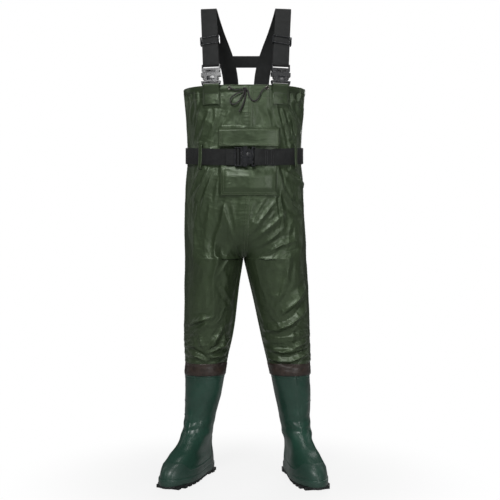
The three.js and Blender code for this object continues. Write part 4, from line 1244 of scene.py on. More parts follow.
class Stitching:
    """Rows of short threads, gathered into one piece."""

    def __init__(self):
        self.points, self.faces, self.count = [], [], 0

    def row(self, line, normals, pitch=4.6, thick=0.55, share=0.68):
        run = run_of(line)
        count = int(run[-1] // pitch)
        if count < 1:
            return self
        starts = (np.arange(count) + 0.5 * (run[-1] / pitch - count)) * pitch
        for start in starts:
            at = start + np.array([0.0, 0.22, 0.5, 0.78, 1.0]) * pitch * share
            p = interpolated(at, run, line)
            n = unit(interpolated(at, run, normals))
            t = unit(np.gradient(p, axis=0))
            b = np.cross(t, n)
            lift = np.array([-0.45, 0.2, 0.34, 0.2, -0.45]) * thick
            size = np.array([0.3, 0.48, 0.5, 0.48, 0.3]) * thick
            base = self.count
            for i in range(5):
                for turn in range(4):
                    a = math.pi / 2 * turn
                    up = n[i] * (lift[i] + size[i] * math.sin(a))
                    self.points.append(p[i] + up + b[i] * size[i] * 1.1 * math.cos(a))
            for i in range(4):
                for j in range(4):
                    e = (j + 1) % 4
                    at = base + 4 * i
                    self.faces.append((at + j, at + e, at + 4 + e, at + 4 + j))
            self.faces.append((base + 3, base + 2, base + 1, base))
            self.faces.append((base + 16, base + 17, base + 18, base + 19))
            self.count += 20
        return self

    def make(self, name, material, slot, body=None, blend=None):
        piece = make_piece(name, np.array(self.points), self.faces, [material])
        bm = bmesh.new()
        bm.from_mesh(piece.data)
        bmesh.ops.recalc_face_normals(bm, faces=bm.faces)
        bm.to_mesh(piece.data)
        bm.free()
        return finish_piece(piece, body=body, blend=blend)


# Seams: the side seams lie on their joint, and the centre seams and inseams are felled to one side.
STITCH_OFFSETS = (-3.2, 3.2)
STITCH_OUT = 0.75  # the rows stand this far off the cloth, on the felled strip


def seam_stitching(name, side, u, spans, blend):
    """Two rows of thread along a felled seam, over spans of height."""
    rows = Stitching()
    for off in STITCH_OFFSETS:
        edge = u + off / GIRTH
        for high_end, low_end in spans:
            rows.row(*cloth_line(side, [(edge, high_end), (edge, low_end)], STITCH_OUT))
    rows.make(name, THREAD, "wader_cloth", blend=blend)


for side in SIDES:
    hip, knee = hip_blend(side), knee_blend(side)
    felled_seam(f"{side}_side_seam", side, [(0.5, BIB_TOP - 3), (0.5, KNEE_SPLIT)], hip)
    felled_seam(f"{side}_leg_side_seam", side, [(0.5, KNEE_SPLIT), (0.5, TAPE_TOP)], knee)
    seam_stitching(f"{side}_side_stitching", side, 0.5, [(BIB_TOP - 6, KNEE_SPLIT + 2)], hip)
    seam_stitching(f"{side}_leg_side_stitching", side, 0.5, [(KNEE_SPLIT - 2, TAPE_TOP + 4)], knee)

FELL = 5.0 / GIRTH  # the felled seams lie this share to one side of the joint
# the front seam has no stitches under the pocket
front_spans = [(BIB_TOP - 6, 1104), (880, CROTCH + 5)]
back_spans = [(BIB_TOP - 6, CROTCH + 5)]
for side, u, word, below, spans in (
    ("right", FELL, "front", 3, front_spans), ("left", 1 - FELL, "back", 4, back_spans)
):
    felled_seam(f"{word}_seam", side, [(u, BIB_TOP - below), (u, CROTCH + 3)], hip_blend(side))
    seam_stitching(f"{word}_seam_stitching", side, u, spans, hip_blend(side))
for side in SIDES:
    felled_seam(f"{side}_inseam", side, [(FELL, CROTCH - 3), (FELL, KNEE_SPLIT)], hip_blend(side))
    felled_seam(f"{side}_leg_inseam", side, [(FELL, KNEE_SPLIT), (FELL, TAPE_TOP)], knee_blend(side))


def hem_stitching():
    rows = Stitching()
    for side in SIDES:
        for below in (2.8, 19.5, 37.5, 40.0):
            z = BIB_TOP - below
            rows.row(*cloth_line(side, [(0.012, z), (0.988, z)], 0.1), pitch=4.0)
    rows.make("hem_stitching", THREAD, "wader_cloth", body="bib")


hem_stitching()

# ---- Pocket ----------------------------------------------------------------------------------------

POCKET_X, POUCH_HALF, FLAP_HALF = 9.0, 86.0, 92.0
POUCH_TOP, POUCH_FOOT, FLAP_TOP, FLAP_FOOT, FLAP_THICK = 1086.0, 888.0, 1094.0, 1036.0, 1.8


def pouch_lift(x, z):
    across = clip01(1 - np.abs((x - POCKET_X) / POUCH_HALF) ** 6)
    mouth = 9 * smooth((z - BELT_FRONT - WEB / 2 - 8) / 26)
    below = 7 * smooth((BELT_FRONT - WEB / 2 - 6 - z) / 30)
    return 0.6 + across * smooth((z - POUCH_FOOT) / 25) * (mouth + below)


def turned_edge(depth, width=10.0, proud=0.55):
    """A hem's doubled border: proud up to its stitch line and drawn in along it."""
    band = proud * smooth((width + 1 - depth) / 2)
    return band - 0.45 * np.exp(-(((depth - width + 1.5) / 1.3) ** 2))


def pouch_out(x, z):
    lift = pouch_lift(x, z) + CLOTH
    edge = np.minimum.reduce([POUCH_HALF - np.abs(x - POCKET_X), z - POUCH_FOOT])
    top = POUCH_TOP - z
    free = smooth(edge / 24)
    below = smooth((BELT_FRONT - 27 - z) / 14)
    folds = 1.5 * (creases(x / 30 + z / 90, z / 52, 21) - 0.4) + 1.3 * noise(x / 44, z / 60, 23)
    folds += 1.6 * np.cos((x - 5) / 13 + 1.2 * noise(z / 40, x * 0, 5)) * smooth((BELT_FRONT - 30 - z) / 12)
    folds = folds * (0.25 + 0.75 * below) * free * smooth(top / 14)
    return lift + np.maximum(folds, -2.0) + turned_edge(edge) + turned_edge(top, 16)


def flap_out(x, z):
    base = pouch_lift(POCKET_X, POUCH_TOP) + CLOTH + 3.0
    out = mix(0.6, base, smooth((FLAP_TOP - z) / 9)) + FLAP_THICK
    edge = np.minimum.reduce([FLAP_HALF - np.abs(x - POCKET_X), z - FLAP_FOOT])
    wave = 0.9 * noise(x / 38, z / 70, 31) + 0.6 * (creases(x / 26, z / 40, 33) - 0.4)
    return out + wave * smooth(edge / 12) * smooth((FLAP_TOP - z) / 20) + turned_edge(edge, 9)


def front_grid(x0, x1, z0, z1, step, outside, thick):
    xs = np.linspace(x0, x1, int(abs(x1 - x0) / step) + 1)
    zs = np.linspace(z0, z1, int(abs(z1 - z0) / step) + 1)
    x, z = np.meshgrid(xs, zs)
    out = outside(x, z)
    outer, inner = soft_edges(on_front(x, z, out), on_front(x, z, out - thick))
    return outer, inner, np.stack([x, z], -1)


def make_pocket():
    outer, inner, uv = front_grid(
        POCKET_X - POUCH_HALF, POCKET_X + POUCH_HALF, POUCH_TOP, POUCH_FOOT, 2.2, pouch_out, CLOTH * 0.8
    )
    pouch = make_sheet("pocket_pouch_cloth", outer, inner, uv, [CLOTH_OUT, CLOTH_IN])
    finish_piece(pouch, ["pocket_pouch"], body="bib")
    outer, inner, uv = front_grid(
        POCKET_X - FLAP_HALF, POCKET_X + FLAP_HALF, FLAP_TOP, FLAP_FOOT, 2.2, flap_out, FLAP_THICK
    )
    flap = make_sheet("pocket_flap_cloth", outer, inner, uv, [CLOTH_OUT, CLOTH_IN])
    finish_piece(flap, ["pocket_flap"], body="pocket_flap")


make_pocket()


def crossed_box(x0, x1, z0, z1):
    """The six straight runs of a sewn box with its two diagonals."""
    corners = [(x0, z0), (x1, z0), (x1, z1), (x0, z1), (x0, z0)]
    return list(zip(corners, corners[1:])) + [(corners[0], corners[2]), (corners[1], corners[3])]


def sewn_line(points, outside, extra=0.1):
    """Points and normals on a piece of the front, through (x, height) points."""
    ends = np.array(points, float)
    run = np.concatenate([[0], np.cumsum(np.hypot(*np.diff(ends, axis=0).T))])
    at = np.linspace(0, run[-1], max(3, int(run[-1] / 2)))
    x, z = np.interp(at, run, ends[:, 0]), np.interp(at, run, ends[:, 1])
    e = 1.0
    place = lambda a, b: on_front(a, b, outside(a, b) + extra)
    n = unit(np.cross(place(x + e, z) - place(x - e, z), place(x, z + e) - place(x, z - e)))
    n = n * np.where(n[:, 1:2] > 0, -1, 1)
    return place(x, z), n


def pocket_stitching():
    rows = Stitching()
    for inset in (2.8, 9.0):
        half, foot = POUCH_HALF - inset, POUCH_FOOT + inset
        line = [(POCKET_X - half, POUCH_TOP - 2), (POCKET_X - half, foot), (POCKET_X + half, foot)]
        line.append((POCKET_X + half, POUCH_TOP - 2))
        for a, b in zip(line, line[1:]):
            rows.row(*sewn_line([a, b], pouch_out), pitch=4.2)
    across = [(POCKET_X - POUCH_HALF + 4, POUCH_TOP - 15), (POCKET_X + POUCH_HALF - 4, POUCH_TOP - 15)]
    rows.row(*sewn_line(across, pouch_out), pitch=4.2)
    rows.make("pouch_stitching", THREAD, "wader_cloth", body="bib")
    rows = Stitching()
    for inset in (2.6, 8.0):
        half, foot, top = FLAP_HALF - inset, FLAP_FOOT + inset, FLAP_TOP - 3
        line = [(POCKET_X - half, top), (POCKET_X - half, foot), (POCKET_X + half, foot)]
        line.append((POCKET_X + half, top))
        for a, b in zip(line, line[1:]):
            rows.row(*sewn_line([a, b], flap_out), pitch=4.0, thick=0.6)
    for below in (2.5, 7.5):
        height = FLAP_TOP - below
        line = [(POCKET_X - FLAP_HALF + 3, height), (POCKET_X + FLAP_HALF - 3, height)]
        rows.row(*sewn_line(line, flap_out), pitch=4.0, thick=0.6)
    rows.make("flap_stitching", THREAD, "wader_cloth", body="pocket_flap")


pocket_stitching()


def fastener_strip(name, x, z, half_wide, half_high, outside, thick, body):
    """A strip of hook or loop, sewn flat on the pouch or under the flap."""
    outer, inner, uv = front_grid(
        x - half_wide, x + half_wide, z + half_high, z - half_high, 3, outside, thick
    )
    strip = make_sheet(name, outer, inner, uv, [FASTENER])
    finish_piece(strip, body=body)


for way, word in ((-1, "left"), (1, "right")):
    x = POCKET_X + way * 52
    fastener_strip(
        f"{word}_pouch_fastener", x, 1056, 22, 9, lambda a, b: pouch_out(a, b) + 1.1, 1.3, "bib"
    )
    fastener_strip(
        f"{word}_flap_fastener", x, 1056, 22, 9, lambda a, b: flap_out(a, b) - FLAP_THICK + 0.2, 1.2,
        "pocket_flap",
    )

# ---- Folded strips: buckle tabs and belt loops -----------------------------------------------------


def folded_strip(name, rows, width, thick, material, columns=13, step=1.6):
    """A strip of cloth whose middle surface passes through rows, functions of the distance across it."""
    offs = np.linspace(-width / 2, width / 2, columns)
    lines = [catmull([row_at(a) for row_at in rows], step) for a in offs]
    count = max(len(line) for line in lines)
    grid = []
    for line in lines:
        run = run_of(line)
        grid.append(interpolated(np.linspace(0, run[-1], count), run, line))
    grid = np.stack(grid, 1)
    n = grid_normals(grid)
    outer, inner = soft_edges(grid + n * thick / 2, grid - n * thick / 2)
    run = run_of(grid[:, columns // 2])
    return make_sheet(name, outer, inner, flat_uv(run, offs), [material])


FOLD_Y = float(on_back(50, BIB_TOP, 0)[1]) + 0.6 + WEB_THICK + 0.3
FOLD_Z = BIB_TOP
BUCKLE_BAR_FEMALE, BUCKLE_BAR_MALE, BUCKLE_END = -32.0, 30.0, 32.0
BAR_HALF = 2.0
YAW = math.radians(12)


def shoulder_place(s):
    """The shoulder buckle's own frame: +Z is the way the male half pulls out and -Y faces the front."""
    y = float(on_front(s * 106, BIB_TOP, 0)[1]) - 7.0
    lean = math.atan2(1256 - 8 - FOLD_Z, FOLD_Y - y)
    turn = Matrix.Rotation(-lean, 4, "X") @ Matrix.Rotation(s * YAW, 4, "Z")
    return Matrix.Translation((s * 106, y, 1256)) @ turn


def placed(matrix, x, y, z):
    return np.array(matrix @ Vector((x, y, z)))


def buckle_tab(side):
    s = SIGN[side]
    place = shoulder_place(s)
    radius = BAR_HALF + 1.4 + CLOTH / 2
    rows = [lambda a, z=z: on_front(s * 106 + a, z, 1.6) for z in (1166, 1185, 1203)]
    for turn in (-25, 20, 60, 100, 140, 180, 205):
        t = math.radians(turn)
        y, z = radius * math.cos(t), BUCKLE_BAR_FEMALE + radius * math.sin(t)
        rows.append(lambda a, y=y, z=z: placed(place, a, y, z))
    rows += [lambda a, z=z: on_front(s * 106 + a, z, 3.9) for z in (1203, 1185, 1166)]
    tab = folded_strip(f"{side}_tab", rows, WEB, CLOTH, CLOTH_OUT)
    finish_piece(tab, [f"{side}_buckle_tab"], body="bib")
    rows = Stitching()
    top = lambda a, b: np.full(np.shape(a), 4.7)
    for a, b in crossed_box(-20.5, 20.5, 1169.5, 1200.5):
        line = [(s * 106 + a[0], a[1]), (s * 106 + b[0], b[1])]
        rows.row(*sewn_line(line, top), pitch=3.6, thick=0.75, share=0.74)
    rows.make(f"{side}_tab_stitching", BLACK_THREAD, "wader_cloth", body="bib")


def way_round(x, back):
    s, u = across_at(x, BELT_HEIGHT)
    w = (1 - u if back else u) / 2
    return w if s < 0 else 1 - w


BELT_REST = CLOTH + 3.0
LOOPS = {"front_left": -136.0, "front_right": 149.0, "back_left": -100.0, "back_right": 95.0}


def belt_loop(name, x):
    w0 = way_round(x, name.startswith("back"))
    z0 = float(belt_z(w0))
    clear, near = BELT_REST + WEB_THICK / 2 + 1.2 + 0.8, GAP + 0.45 + 0.8
    rows = []
    for t in (-1, -0.84, -0.74, -0.4, 0, 0.4, 0.74, 0.84, 1):
        out = float(mix(near, clear, smooth((1 - abs(t)) / 0.2)))
        rows.append(lambda a, z=z0 + t * 39, out=out: around(w0 + a / 1180, z, out))
    piece = folded_strip(f"{name}_loop", rows, 16, CLOTH, CLOTH_OUT, columns=9)
    finish_piece(piece, [f"{name}_belt_loop"], body="bib")
    stitches = Stitching()
    for off in (-5.6, 5.6):
        z = np.linspace(z0 - 37, z0 + 37, 40)
        out = mix(near, clear, smooth((1 - np.abs((z - z0) / 39)) / 0.2)) + 0.85
        line = around(w0 + off / 1180, z, out)
        n = unit(around(w0 + off / 1180, z, out + 1) - line)
        stitches.row(line, n, pitch=3.6)
    for t in (-0.93, -0.87, 0.87, 0.93):
        a = np.linspace(-6.5, 6.5, 12)
        line = around(w0 + a / 1180, z0 + t * 39, near + 1.2)
        n = unit(around(w0 + a / 1180, z0 + t * 39, near + 2.2) - line)
        stitches.row(line, n, pitch=1.9, thick=0.8, share=0.85)
    stitches.make(f"{name}_loop_stitching", THREAD, "wader_cloth", body="bib")


for side in SIDES:
    buckle_tab(side)
for name, x in LOOPS.items():
    belt_loop(name, x)

# ---- Webbing ---------------------------------------------------------------------------------------

WEB_RADIUS = BAR_HALF + 1.35 + WEB_THICK / 2


def straight_run(s, place):
    foot = placed(place, 0, -WEB_RADIUS, BUCKLE_END + 1)
    top = np.array([s * 115.0, -52.0, SHOULDER_TOP - 51])
    return foot, top, unit(top - foot)


def level_across(s, share=1.0):
    yaw = np.asarray(share) * YAW
    return np.stack([np.cos(yaw), s * np.sin(yaw), 0 * yaw], -1)


def slider_place(s, foot, way):
    level = level_across(s)
    x = unit(level - way * np.dot(way, level))
    y = np.cross(way, x)
    t = (BIB_TOP + 144 - foot[2]) / way[2]
    matrix = Matrix((x, y, way)).transposed().to_4x4()
    return Matrix.Translation(Vector(foot + way * t)) @ matrix


def shoulder_strap(side):
    """From its seam inside the back over the shoulder and down to the male half's bar."""
    s = SIGN[side]
    place = shoulder_place(s)
    foot, top, way = straight_run(s, place)
    anchor = [on_back(s * 50, z, 1.6) for z in (1160, 1180, 1200, 1216)]
    back = [
        (50, 118, BIB_TOP + 38), (54, 115.5, BIB_TOP + 76), (62, 111, SHOULDER_TOP - 151),
        (76, 101, SHOULDER_TOP - 111), (94, 80, SHOULDER_TOP - 67), (109, 49, SHOULDER_TOP - 25),
        (117, 10, SHOULDER_TOP - 1), (117.5, -22, SHOULDER_TOP - 11),
    ]
    over = [np.array([s * x, y, z]) for x, y, z in back]
    bar = []
    for turn in (180, 205, 235, 270, 300, 325, 345):
        t = math.radians(turn)
        bar.append(placed(place, 0, WEB_RADIUS * math.cos(t), BUCKLE_BAR_MALE + WEB_RADIUS * math.sin(t)))
    start = np.array([s * 50, FOLD_Y - 0.3 - WEB_THICK / 2, BIB_TOP + 1.2])
    line = np.vstack([
        catmull([*anchor, start, *over, top], 4.0)[:-1], catmull([top, foot], 6.0)[:-1],
        catmull([foot, *bar], 1.0),
    ])
    flat = unit(on_back(s * 50 + 20, 1190, 0) - on_back(s * 50 - 20, 1190, 0))
    share = smooth((60 - line[:, 1]) / 100)
    level = level_across(s, share)
    low = smooth((BIB_TOP + 30 - line[:, 2]) / 30)[:, None] * (line[:, 1:2] > 60)
    piece = ribbon(f"{side}_shoulder_strap", line, level * (1 - low) + flat * low, WEBBING)
    blend = {"a": "bib", "b": "suspenders", "start": row(0, 0, 1218), "end": row(0, 0, 1236)}
    finish_piece(piece, [f"{side}_strap", f"{side}_strap_anchor"], blend=blend)
    anchor_stitching(side)
    return place, foot, way


def anchor_stitching(side):
    s = SIGN[side]
    rows = Stitching()
    for a, b in crossed_box(-20, 20, 1164, 1206):
        t = np.linspace(0, 1, 24)
        x, z = s * 50 + mix(a[0], b[0], t), mix(a[1], b[1], t)
        line = on_back(x, z, 2.9)
        rows.row(line, np.tile((0.0, 1.0, 0.0), (24, 1)), pitch=3.6, thick=0.8, share=0.74)
    rows.make(f"{side}_anchor_stitching", BLACK_THREAD, "webbing", body="bib")


def return_layer(side, place, foot, way):
    s = SIGN[side]
    on = slider_place(s, foot, way)
    start = placed(place, 0, WEB_RADIUS, BUCKLE_BAR_MALE + 3)
    profile = [(8.9, -4), (8.9, 1), (7.4, 3.4), (5.4, 4.1), (3.4, 3), (2.7, 0.5), (2.7, -4)]
    hook = [placed(on, 0, y, z) for y, z in profile]
    line = catmull([start, mix(start, hook[0], 0.35), mix(start, hook[0], 0.7), *hook], 1.4)
    across = np.array(on.to_3x3().col[0])
    piece = ribbon(f"{side}_return", line, across, WEBBING)
    blend = {"a": "suspenders", "b": f"{side}_slider",
             "start": tuple(start * MM - np.array([0, 0, SHOULDER_TOP * MM - 0.012])),
             "end": tuple(hook[0] * MM - np.array([0, 0, SHOULDER_TOP * MM + 0.012]))}
    finish_piece(piece, [f"{side}_strap_return"], blend=blend)


for side in SIDES:
    return_layer(side, *shoulder_strap(side))


def cross_strap():
    x = np.linspace(-84, 84, 60)
    line = np.stack([x, np.full(60, 112.6), np.full(60, SHOULDER_TOP - 145.0)], -1)
    piece = ribbon("cross_webbing", line, unit((0, -0.15, 1)), WEBBING, width=38)
    finish_piece(piece, ["cross_strap"], body="suspenders")
    rows = Stitching()
    for way in (-1, 1):
        for a, b in crossed_box(45, 78, -14, 14):
            t = np.linspace(0, 1, 20)
            px, up = way * mix(a[0], b[0], t), mix(a[1], b[1], t)
            for face in (-1.15, 1.15):
                lean = np.stack([px, 112.6 + face - 0.15 * up, SHOULDER_TOP - 145 + up], -1)
                n = np.tile((0.0, float(np.sign(face)), 0.0), (20, 1))
                rows.row(lean, n, pitch=3.6, thick=0.8, share=0.74)
    rows.make("cross_strap_stitching", BLACK_THREAD, "webbing", body="suspenders")


cross_strap()

BELT_X = -2.5
BELT_Y = float(on_front(BELT_X, BELT_FRONT, 0)[1]) - 12.0


def belt_on(x, out):
    return on_front(x, BELT_FRONT, out)


def in_buckle(y, z):
    return np.array([BELT_X - z, BELT_Y + y, BELT_FRONT])


def make_belt():
    radius = BAR_HALF + 1.4 + WEB_THICK / 2
    turns = [math.radians(t) for t in (60, 20, -30, -80, -130, -170, -200)]
    bar = [in_buckle(radius * math.cos(t), BUCKLE_BAR_FEMALE - radius * math.sin(t)) for t in turns]
    tuck = [belt_on(66, 4.2), belt_on(52, 4.6), belt_on(42, 6.8)]
    out = [belt_on(44, 14), belt_on(56, 9.8), belt_on(68, 7.8), belt_on(84, 5.5)]
    first = 1 - across_at(96, BELT_FRONT)[1] / 2
    last = across_at(-58, BELT_FRONT)[1] / 2
    w = np.linspace(first, last, 90)
    way = [around(v, belt_z(v), BELT_REST) for v in w]
    line = catmull([*tuck, *bar, *out, *way, belt_on(-42, 4.3), belt_on(-20, 4.3)], 2.2)
    piece = ribbon("belt_webbing", line, (0, 0, 1), WEBBING)
    finish_piece(piece, ["belt_strap"], body="bib")
    profile = [
        (5, 58), (4.2, 40), (4, 29), (3.3, 25.8), (1.8, 24.9), (-1.6, 24.9), (-3.4, 23.6), (-3.9, 20.9),
        (-3.4, 18.2), (-1.6, 17), (3, 17),
    ]
    line = catmull([in_buckle(y, z) for y, z in profile], 1.2)
    wrap = ribbon("belt_wrap_webbing", line, (0, 0, 1), WEBBING)
    finish_piece(wrap, ["belt_wrap"], body="belt_release")
    rows = Stitching()
    z = np.linspace(BELT_FRONT - 21, BELT_FRONT + 21, 24)
    for x in (60.0, 66.0, 78.0, 84.0):
        outs = np.interp(x, [56, 68, 84], [9.8, 7.8, 5.5]) + 1.15
        line = np.stack([np.full(24, x), np.full(24, belt_on(x, outs)[1]), z], -1)
        rows.row(line, np.tile(unit((0.05, -1, 0)), (24, 1)), pitch=3.4, thick=0.85, share=0.78)
    rows.make("belt_stitching", BLACK_THREAD, "webbing", body="bib")


make_belt()

# ---- Buckles, sliders and eyelets ------------------------------------------------------------------


def polish_node(name, material, width):
    """Gives a CAD node moulded edges and its finish."""
    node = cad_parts[name]
    node.data.materials.clear()
    node.data.materials.append(material)
    weld = node.modifiers.new("weld", "WELD")
    weld.merge_threshold = 0.00002
    flat = node.modifiers.new("flat", "DECIMATE")
    flat.decimate_type = "DISSOLVE"
    flat.angle_limit = math.radians(4)
    bevel = node.modifiers.new("bevel", "BEVEL")
    bevel.width = width * MM
    bevel.segments = 3
    bevel.limit_method = "ANGLE"
    bevel.angle_limit = math.radians(28)
    bevel.use_clamp_overlap = True
    bevel.harden_normals = True
    node.data.polygons.foreach_set("use_smooth", np.ones(len(node.data.polygons), bool))
    normal = node.modifiers.new("normal", "WEIGHTED_NORMAL")
    normal.keep_sharp = True
    return node


def block(name, size, place, body, bevel):
    """A bevelled block of buckle plastic: size in millimetres, place a matrix in millimetres."""
    bpy.ops.object.select_all(action="DESELECT")
    bpy.ops.mesh.primitive_cube_add(size=1)
    piece = bpy.context.object
    piece.name = name
    piece.data.name = name
    piece.scale = [v * MM for v in size]
    bpy.ops.object.transform_apply(location=False, rotation=False, scale=True)
    edge = piece.modifiers.new("bevel", "BEVEL")
    edge.width = bevel * MM
    edge.segments = 3
    bpy.ops.object.modifier_apply(modifier="bevel")
    bpy.ops.object.shade_smooth_by_angle(angle=math.radians(40))
    low = Matrix.Translation((0, 0, -SHOULDER_TOP * MM))
    scaled = place.copy()
    scaled.translation = place.translation * MM
    piece.matrix_world = low @ scaled
    bpy.ops.object.transform_apply(location=True, rotation=True, scale=True)
    piece.data.materials.append(PLASTIC)
    finish_piece(piece, body=body)


BELT_PLACE = Matrix(((0, 0, -1, BELT_X), (0, 1, 0, BELT_Y), (1, 0, 0, BELT_FRONT), (0, 0, 0, 1)))
BUCKLES = {
    "left_buckle": (shoulder_place(-1.0), "bib", "suspenders"),
    "right_buckle": (shoulder_place(1.0), "bib", "suspenders"),
    "belt_buckle": (BELT_PLACE, "bib", "belt_release"),
}


def buckle_detail(name, place, female, male):
    """Raised panel and grips on the halves' faces."""
    for half in ("female", "male", "prong_a", "prong_b"):
        polish_node(f"{name}_{half}", PLASTIC, 0.9 if half == "female" else 0.6)
    for k, z in enumerate((-26.5, -24.3, -22.1)):
        at = place @ Matrix.Translation((0, -6.75, z))
        block(f"{name}_grip_{k}", (34 - 4 * k, 1.1, 1.1), at, female, 0.4)
    at = place @ Matrix.Translation((0, -6.6, -10.5))
    block(f"{name}_panel", (24, 1.0, 12), at, female, 0.45)
    for k, z in enumerate((9.5, 11.7, 13.9) if "belt" not in name else (9.0, 11.0)):
        at = place @ Matrix.Translation((0, -6.55, z))
        block(f"{name}_rib_{k}", (30, 1.0, 1.0), at, male, 0.35)


for name, (place, female, male) in BUCKLES.items():
    buckle_detail(name, place, female, male)
for side in SIDES:
    polish_node(f"{side}_slider", PLASTIC, 0.8)


def make_eyelet(side):
    x = EYELET_X[side]
    y = float(on_front(x, CORD_LINE, 0.6 + 0.6)[1])
    bpy.ops.object.select_all(action="DESELECT")
    bpy.ops.mesh.primitive_torus_add(
        major_radius=4.9 * MM, minor_radius=1.6 * MM, major_segments=64, minor_segments=20
    )
    rim = bpy.context.object
    rim.name = rim.data.name = f"{side}_eyelet_rim"
    slope = math.atan2(float(on_front(x + 4, CORD_LINE, 0)[1] - on_front(x - 4, CORD_LINE, 0)[1]), 8)
    turn = Matrix.Rotation(slope, 4, "Z") @ Matrix.Rotation(math.radians(90), 4, "X")
    rim.matrix_world = Matrix.Translation(row(x, y, CORD_LINE)) @ turn @ Matrix.Diagonal((1, 1, 0.75, 1))
    bpy.ops.object.transform_apply(location=True, rotation=True, scale=True)
    bpy.ops.object.shade_smooth()
    rim.data.materials.append(METAL)
    finish_piece(rim, [f"{side}_eyelet"], body="bib")


for side in SIDES:
    make_eyelet(side)
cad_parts["drawcord_ring"].data.materials.clear()
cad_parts["drawcord_ring"].data.materials.append(CORD_BRAID)

# ---- Boots -----------------------------------------------------------------------------------------

boot_at = track([
    (331, 64, 64, 63), (259, 61, 62, 57), (202, 57, 60, 50), (160, 57, 66, 46), (130, 61, 86, 45),
    (105, 67, 120, 45), (85, 72, 160, 47), (65, 76, 193, 52), (48, 79, 208, 54), (30, 80, 213, 54),
])
shaft_x = {
    "left": track([(331, -131), (259, -138), (202, -146), (150, -151), (30, -153)]),
    "right": track([(331, 141), (259, 148), (202, 154), (150, 159), (30, 162)]),
}
foot_plan = track([
    (-90, 37), (-50, 38), (0, 38), (50, 45), (100, 53), (150, 54), (190, 51), (220, 47),
])
FOOT_TURN = {"left": math.radians(25), "right": math.radians(16)}
BOOT_WALL, BOOT_FLOOR, BOOT_FOOT = 3.2, 36.0, 30.0
FOXING_LEVEL, FOXING_ROWS = 55.0, 27  # the height that its outline is read at, and its rows of faces
BOOT_HEEL, SOLE_HEEL = -22.0, -24.0  # behind these the foxing and the sole's edge are dark
UPPER, BAND, HEEL, INSIDE = range(4)  # the boot's materials


def foot_ways(side):
    s, turn = SIGN[side], FOOT_TURN[side]
    forward = np.array([s * math.sin(turn), -math.cos(turn), 0.0])
    return forward, np.array([math.cos(turn), s * math.sin(turn), 0.0])


def boot_along(t, z):
    """How far forward of the shaft's middle a place round the boot is; t goes once round from the toe."""
    heel, toe, _ = boot_at(z)
    square = mix(1, 0.86, smooth((150 - z) / 70))
    return (toe - heel) / 2 + (heel + toe) / 2 * power(np.cos(2 * np.pi * t), square)


def boot_point(side, t, z, inset):
    t, z, inset = np.broadcast_arrays(*(np.asarray(v, float) for v in (t, z, inset)))
    heel, toe, half = boot_at(z)
    cx = shaft_x[side](z)[0]
    cy = mix(35, 46, smooth((331 - z) / 180))
    foot = smooth((150 - z) / 70)
    a = 2 * np.pi * t
    square = mix(1, 0.86, foot)
    along = (toe - heel) / 2 + ((heel + toe) / 2 - inset) * power(np.cos(a), square)
    width = mix(half, foot_plan(along)[0] * (half / 54), foot) - inset
    over = width * power(np.sin(a), square)
    forward, sideways = foot_ways(side)
    point = np.stack([cx, cy, z], -1)
    return point + along[..., None] * forward + over[..., None] * sideways


def foxing_top(along):
    return 52 + 22 * smooth((along - 130) / 60) + 78 * smooth((-18 - along) / 50)


def ridge(v, middle, half):
    """A rounded raised line about the middle."""
    return np.sqrt(clip01(1 - ((v - middle) / half) ** 2))


def boot_relief(side, t, z, fox):
    """Moulded detail and wear of the boot's outer face."""
    outer = np.cos(2 * np.pi * (t - (0.25 if side == "right" else 0.75)))  # 1 at the outer side
    front = np.cos(2 * np.pi * t)
    foot = smooth((150 - z) / 70)
    out = 0.9 * smooth((fox + 1 - z) / 2.4) + 0.5 * ridge(z, fox - 3.0, 1.6)
    out += 0.9 * smooth((48 - z) / 16)
    out += 1.5 * ridge(z, BOOT_TOP - 7, 3.4) + 0.9 * ridge(z, BOOT_TOP - 15, 1.6)
    # two short raised lines on the outer front of the shaft
    turned = t if side == "right" else 1 - t
    for level, half in ((241, 0.075), (196, 0.04)):
        off = turned - 0.15
        seen = smooth((half - np.abs(off)) / 0.012)
        out += 1.3 * ridge(z, level - 900 * off * off, 1.5) * seen
    for place in (0.19, 0.215, 0.24):
        off = np.abs(np.where(t > 0.5, 1 - t, t) - place) * 360
        rib = np.sqrt(clip01(1 - (off / 2.2) ** 2)) * smooth((z - 120) / 12) * smooth((300 - z) / 12)
        out += 1.2 * rib * smooth((outer - 0.2) / 0.1)
    # creases where the ankle gives, and gentle dents
    flex = np.exp(-(((z - 158) / 40) ** 2)) * (0.55 + 0.45 * front)
    level = z - 10 * np.abs(np.sin(2 * np.pi * t))
    out += 2.0 * flex * np.sin(level / 6.2 + 0.8 * noise(t * 7, z / 40, 41))
    out += (1.3 * noise(t * 9, z / 46, 43) + 0.5 * noise(t * 26, z / 17, 44)) * (1 - 0.6 * foot)
    vamp = np.exp(-(((z - 92) / 26) ** 2)) * smooth((front - 0.3) / 0.4)
    out += 0.8 * vamp * np.sin(z / 4.4 + 1.6 * noise(t * 12, z / 30, 45))
    return np.maximum(out, -1.5)


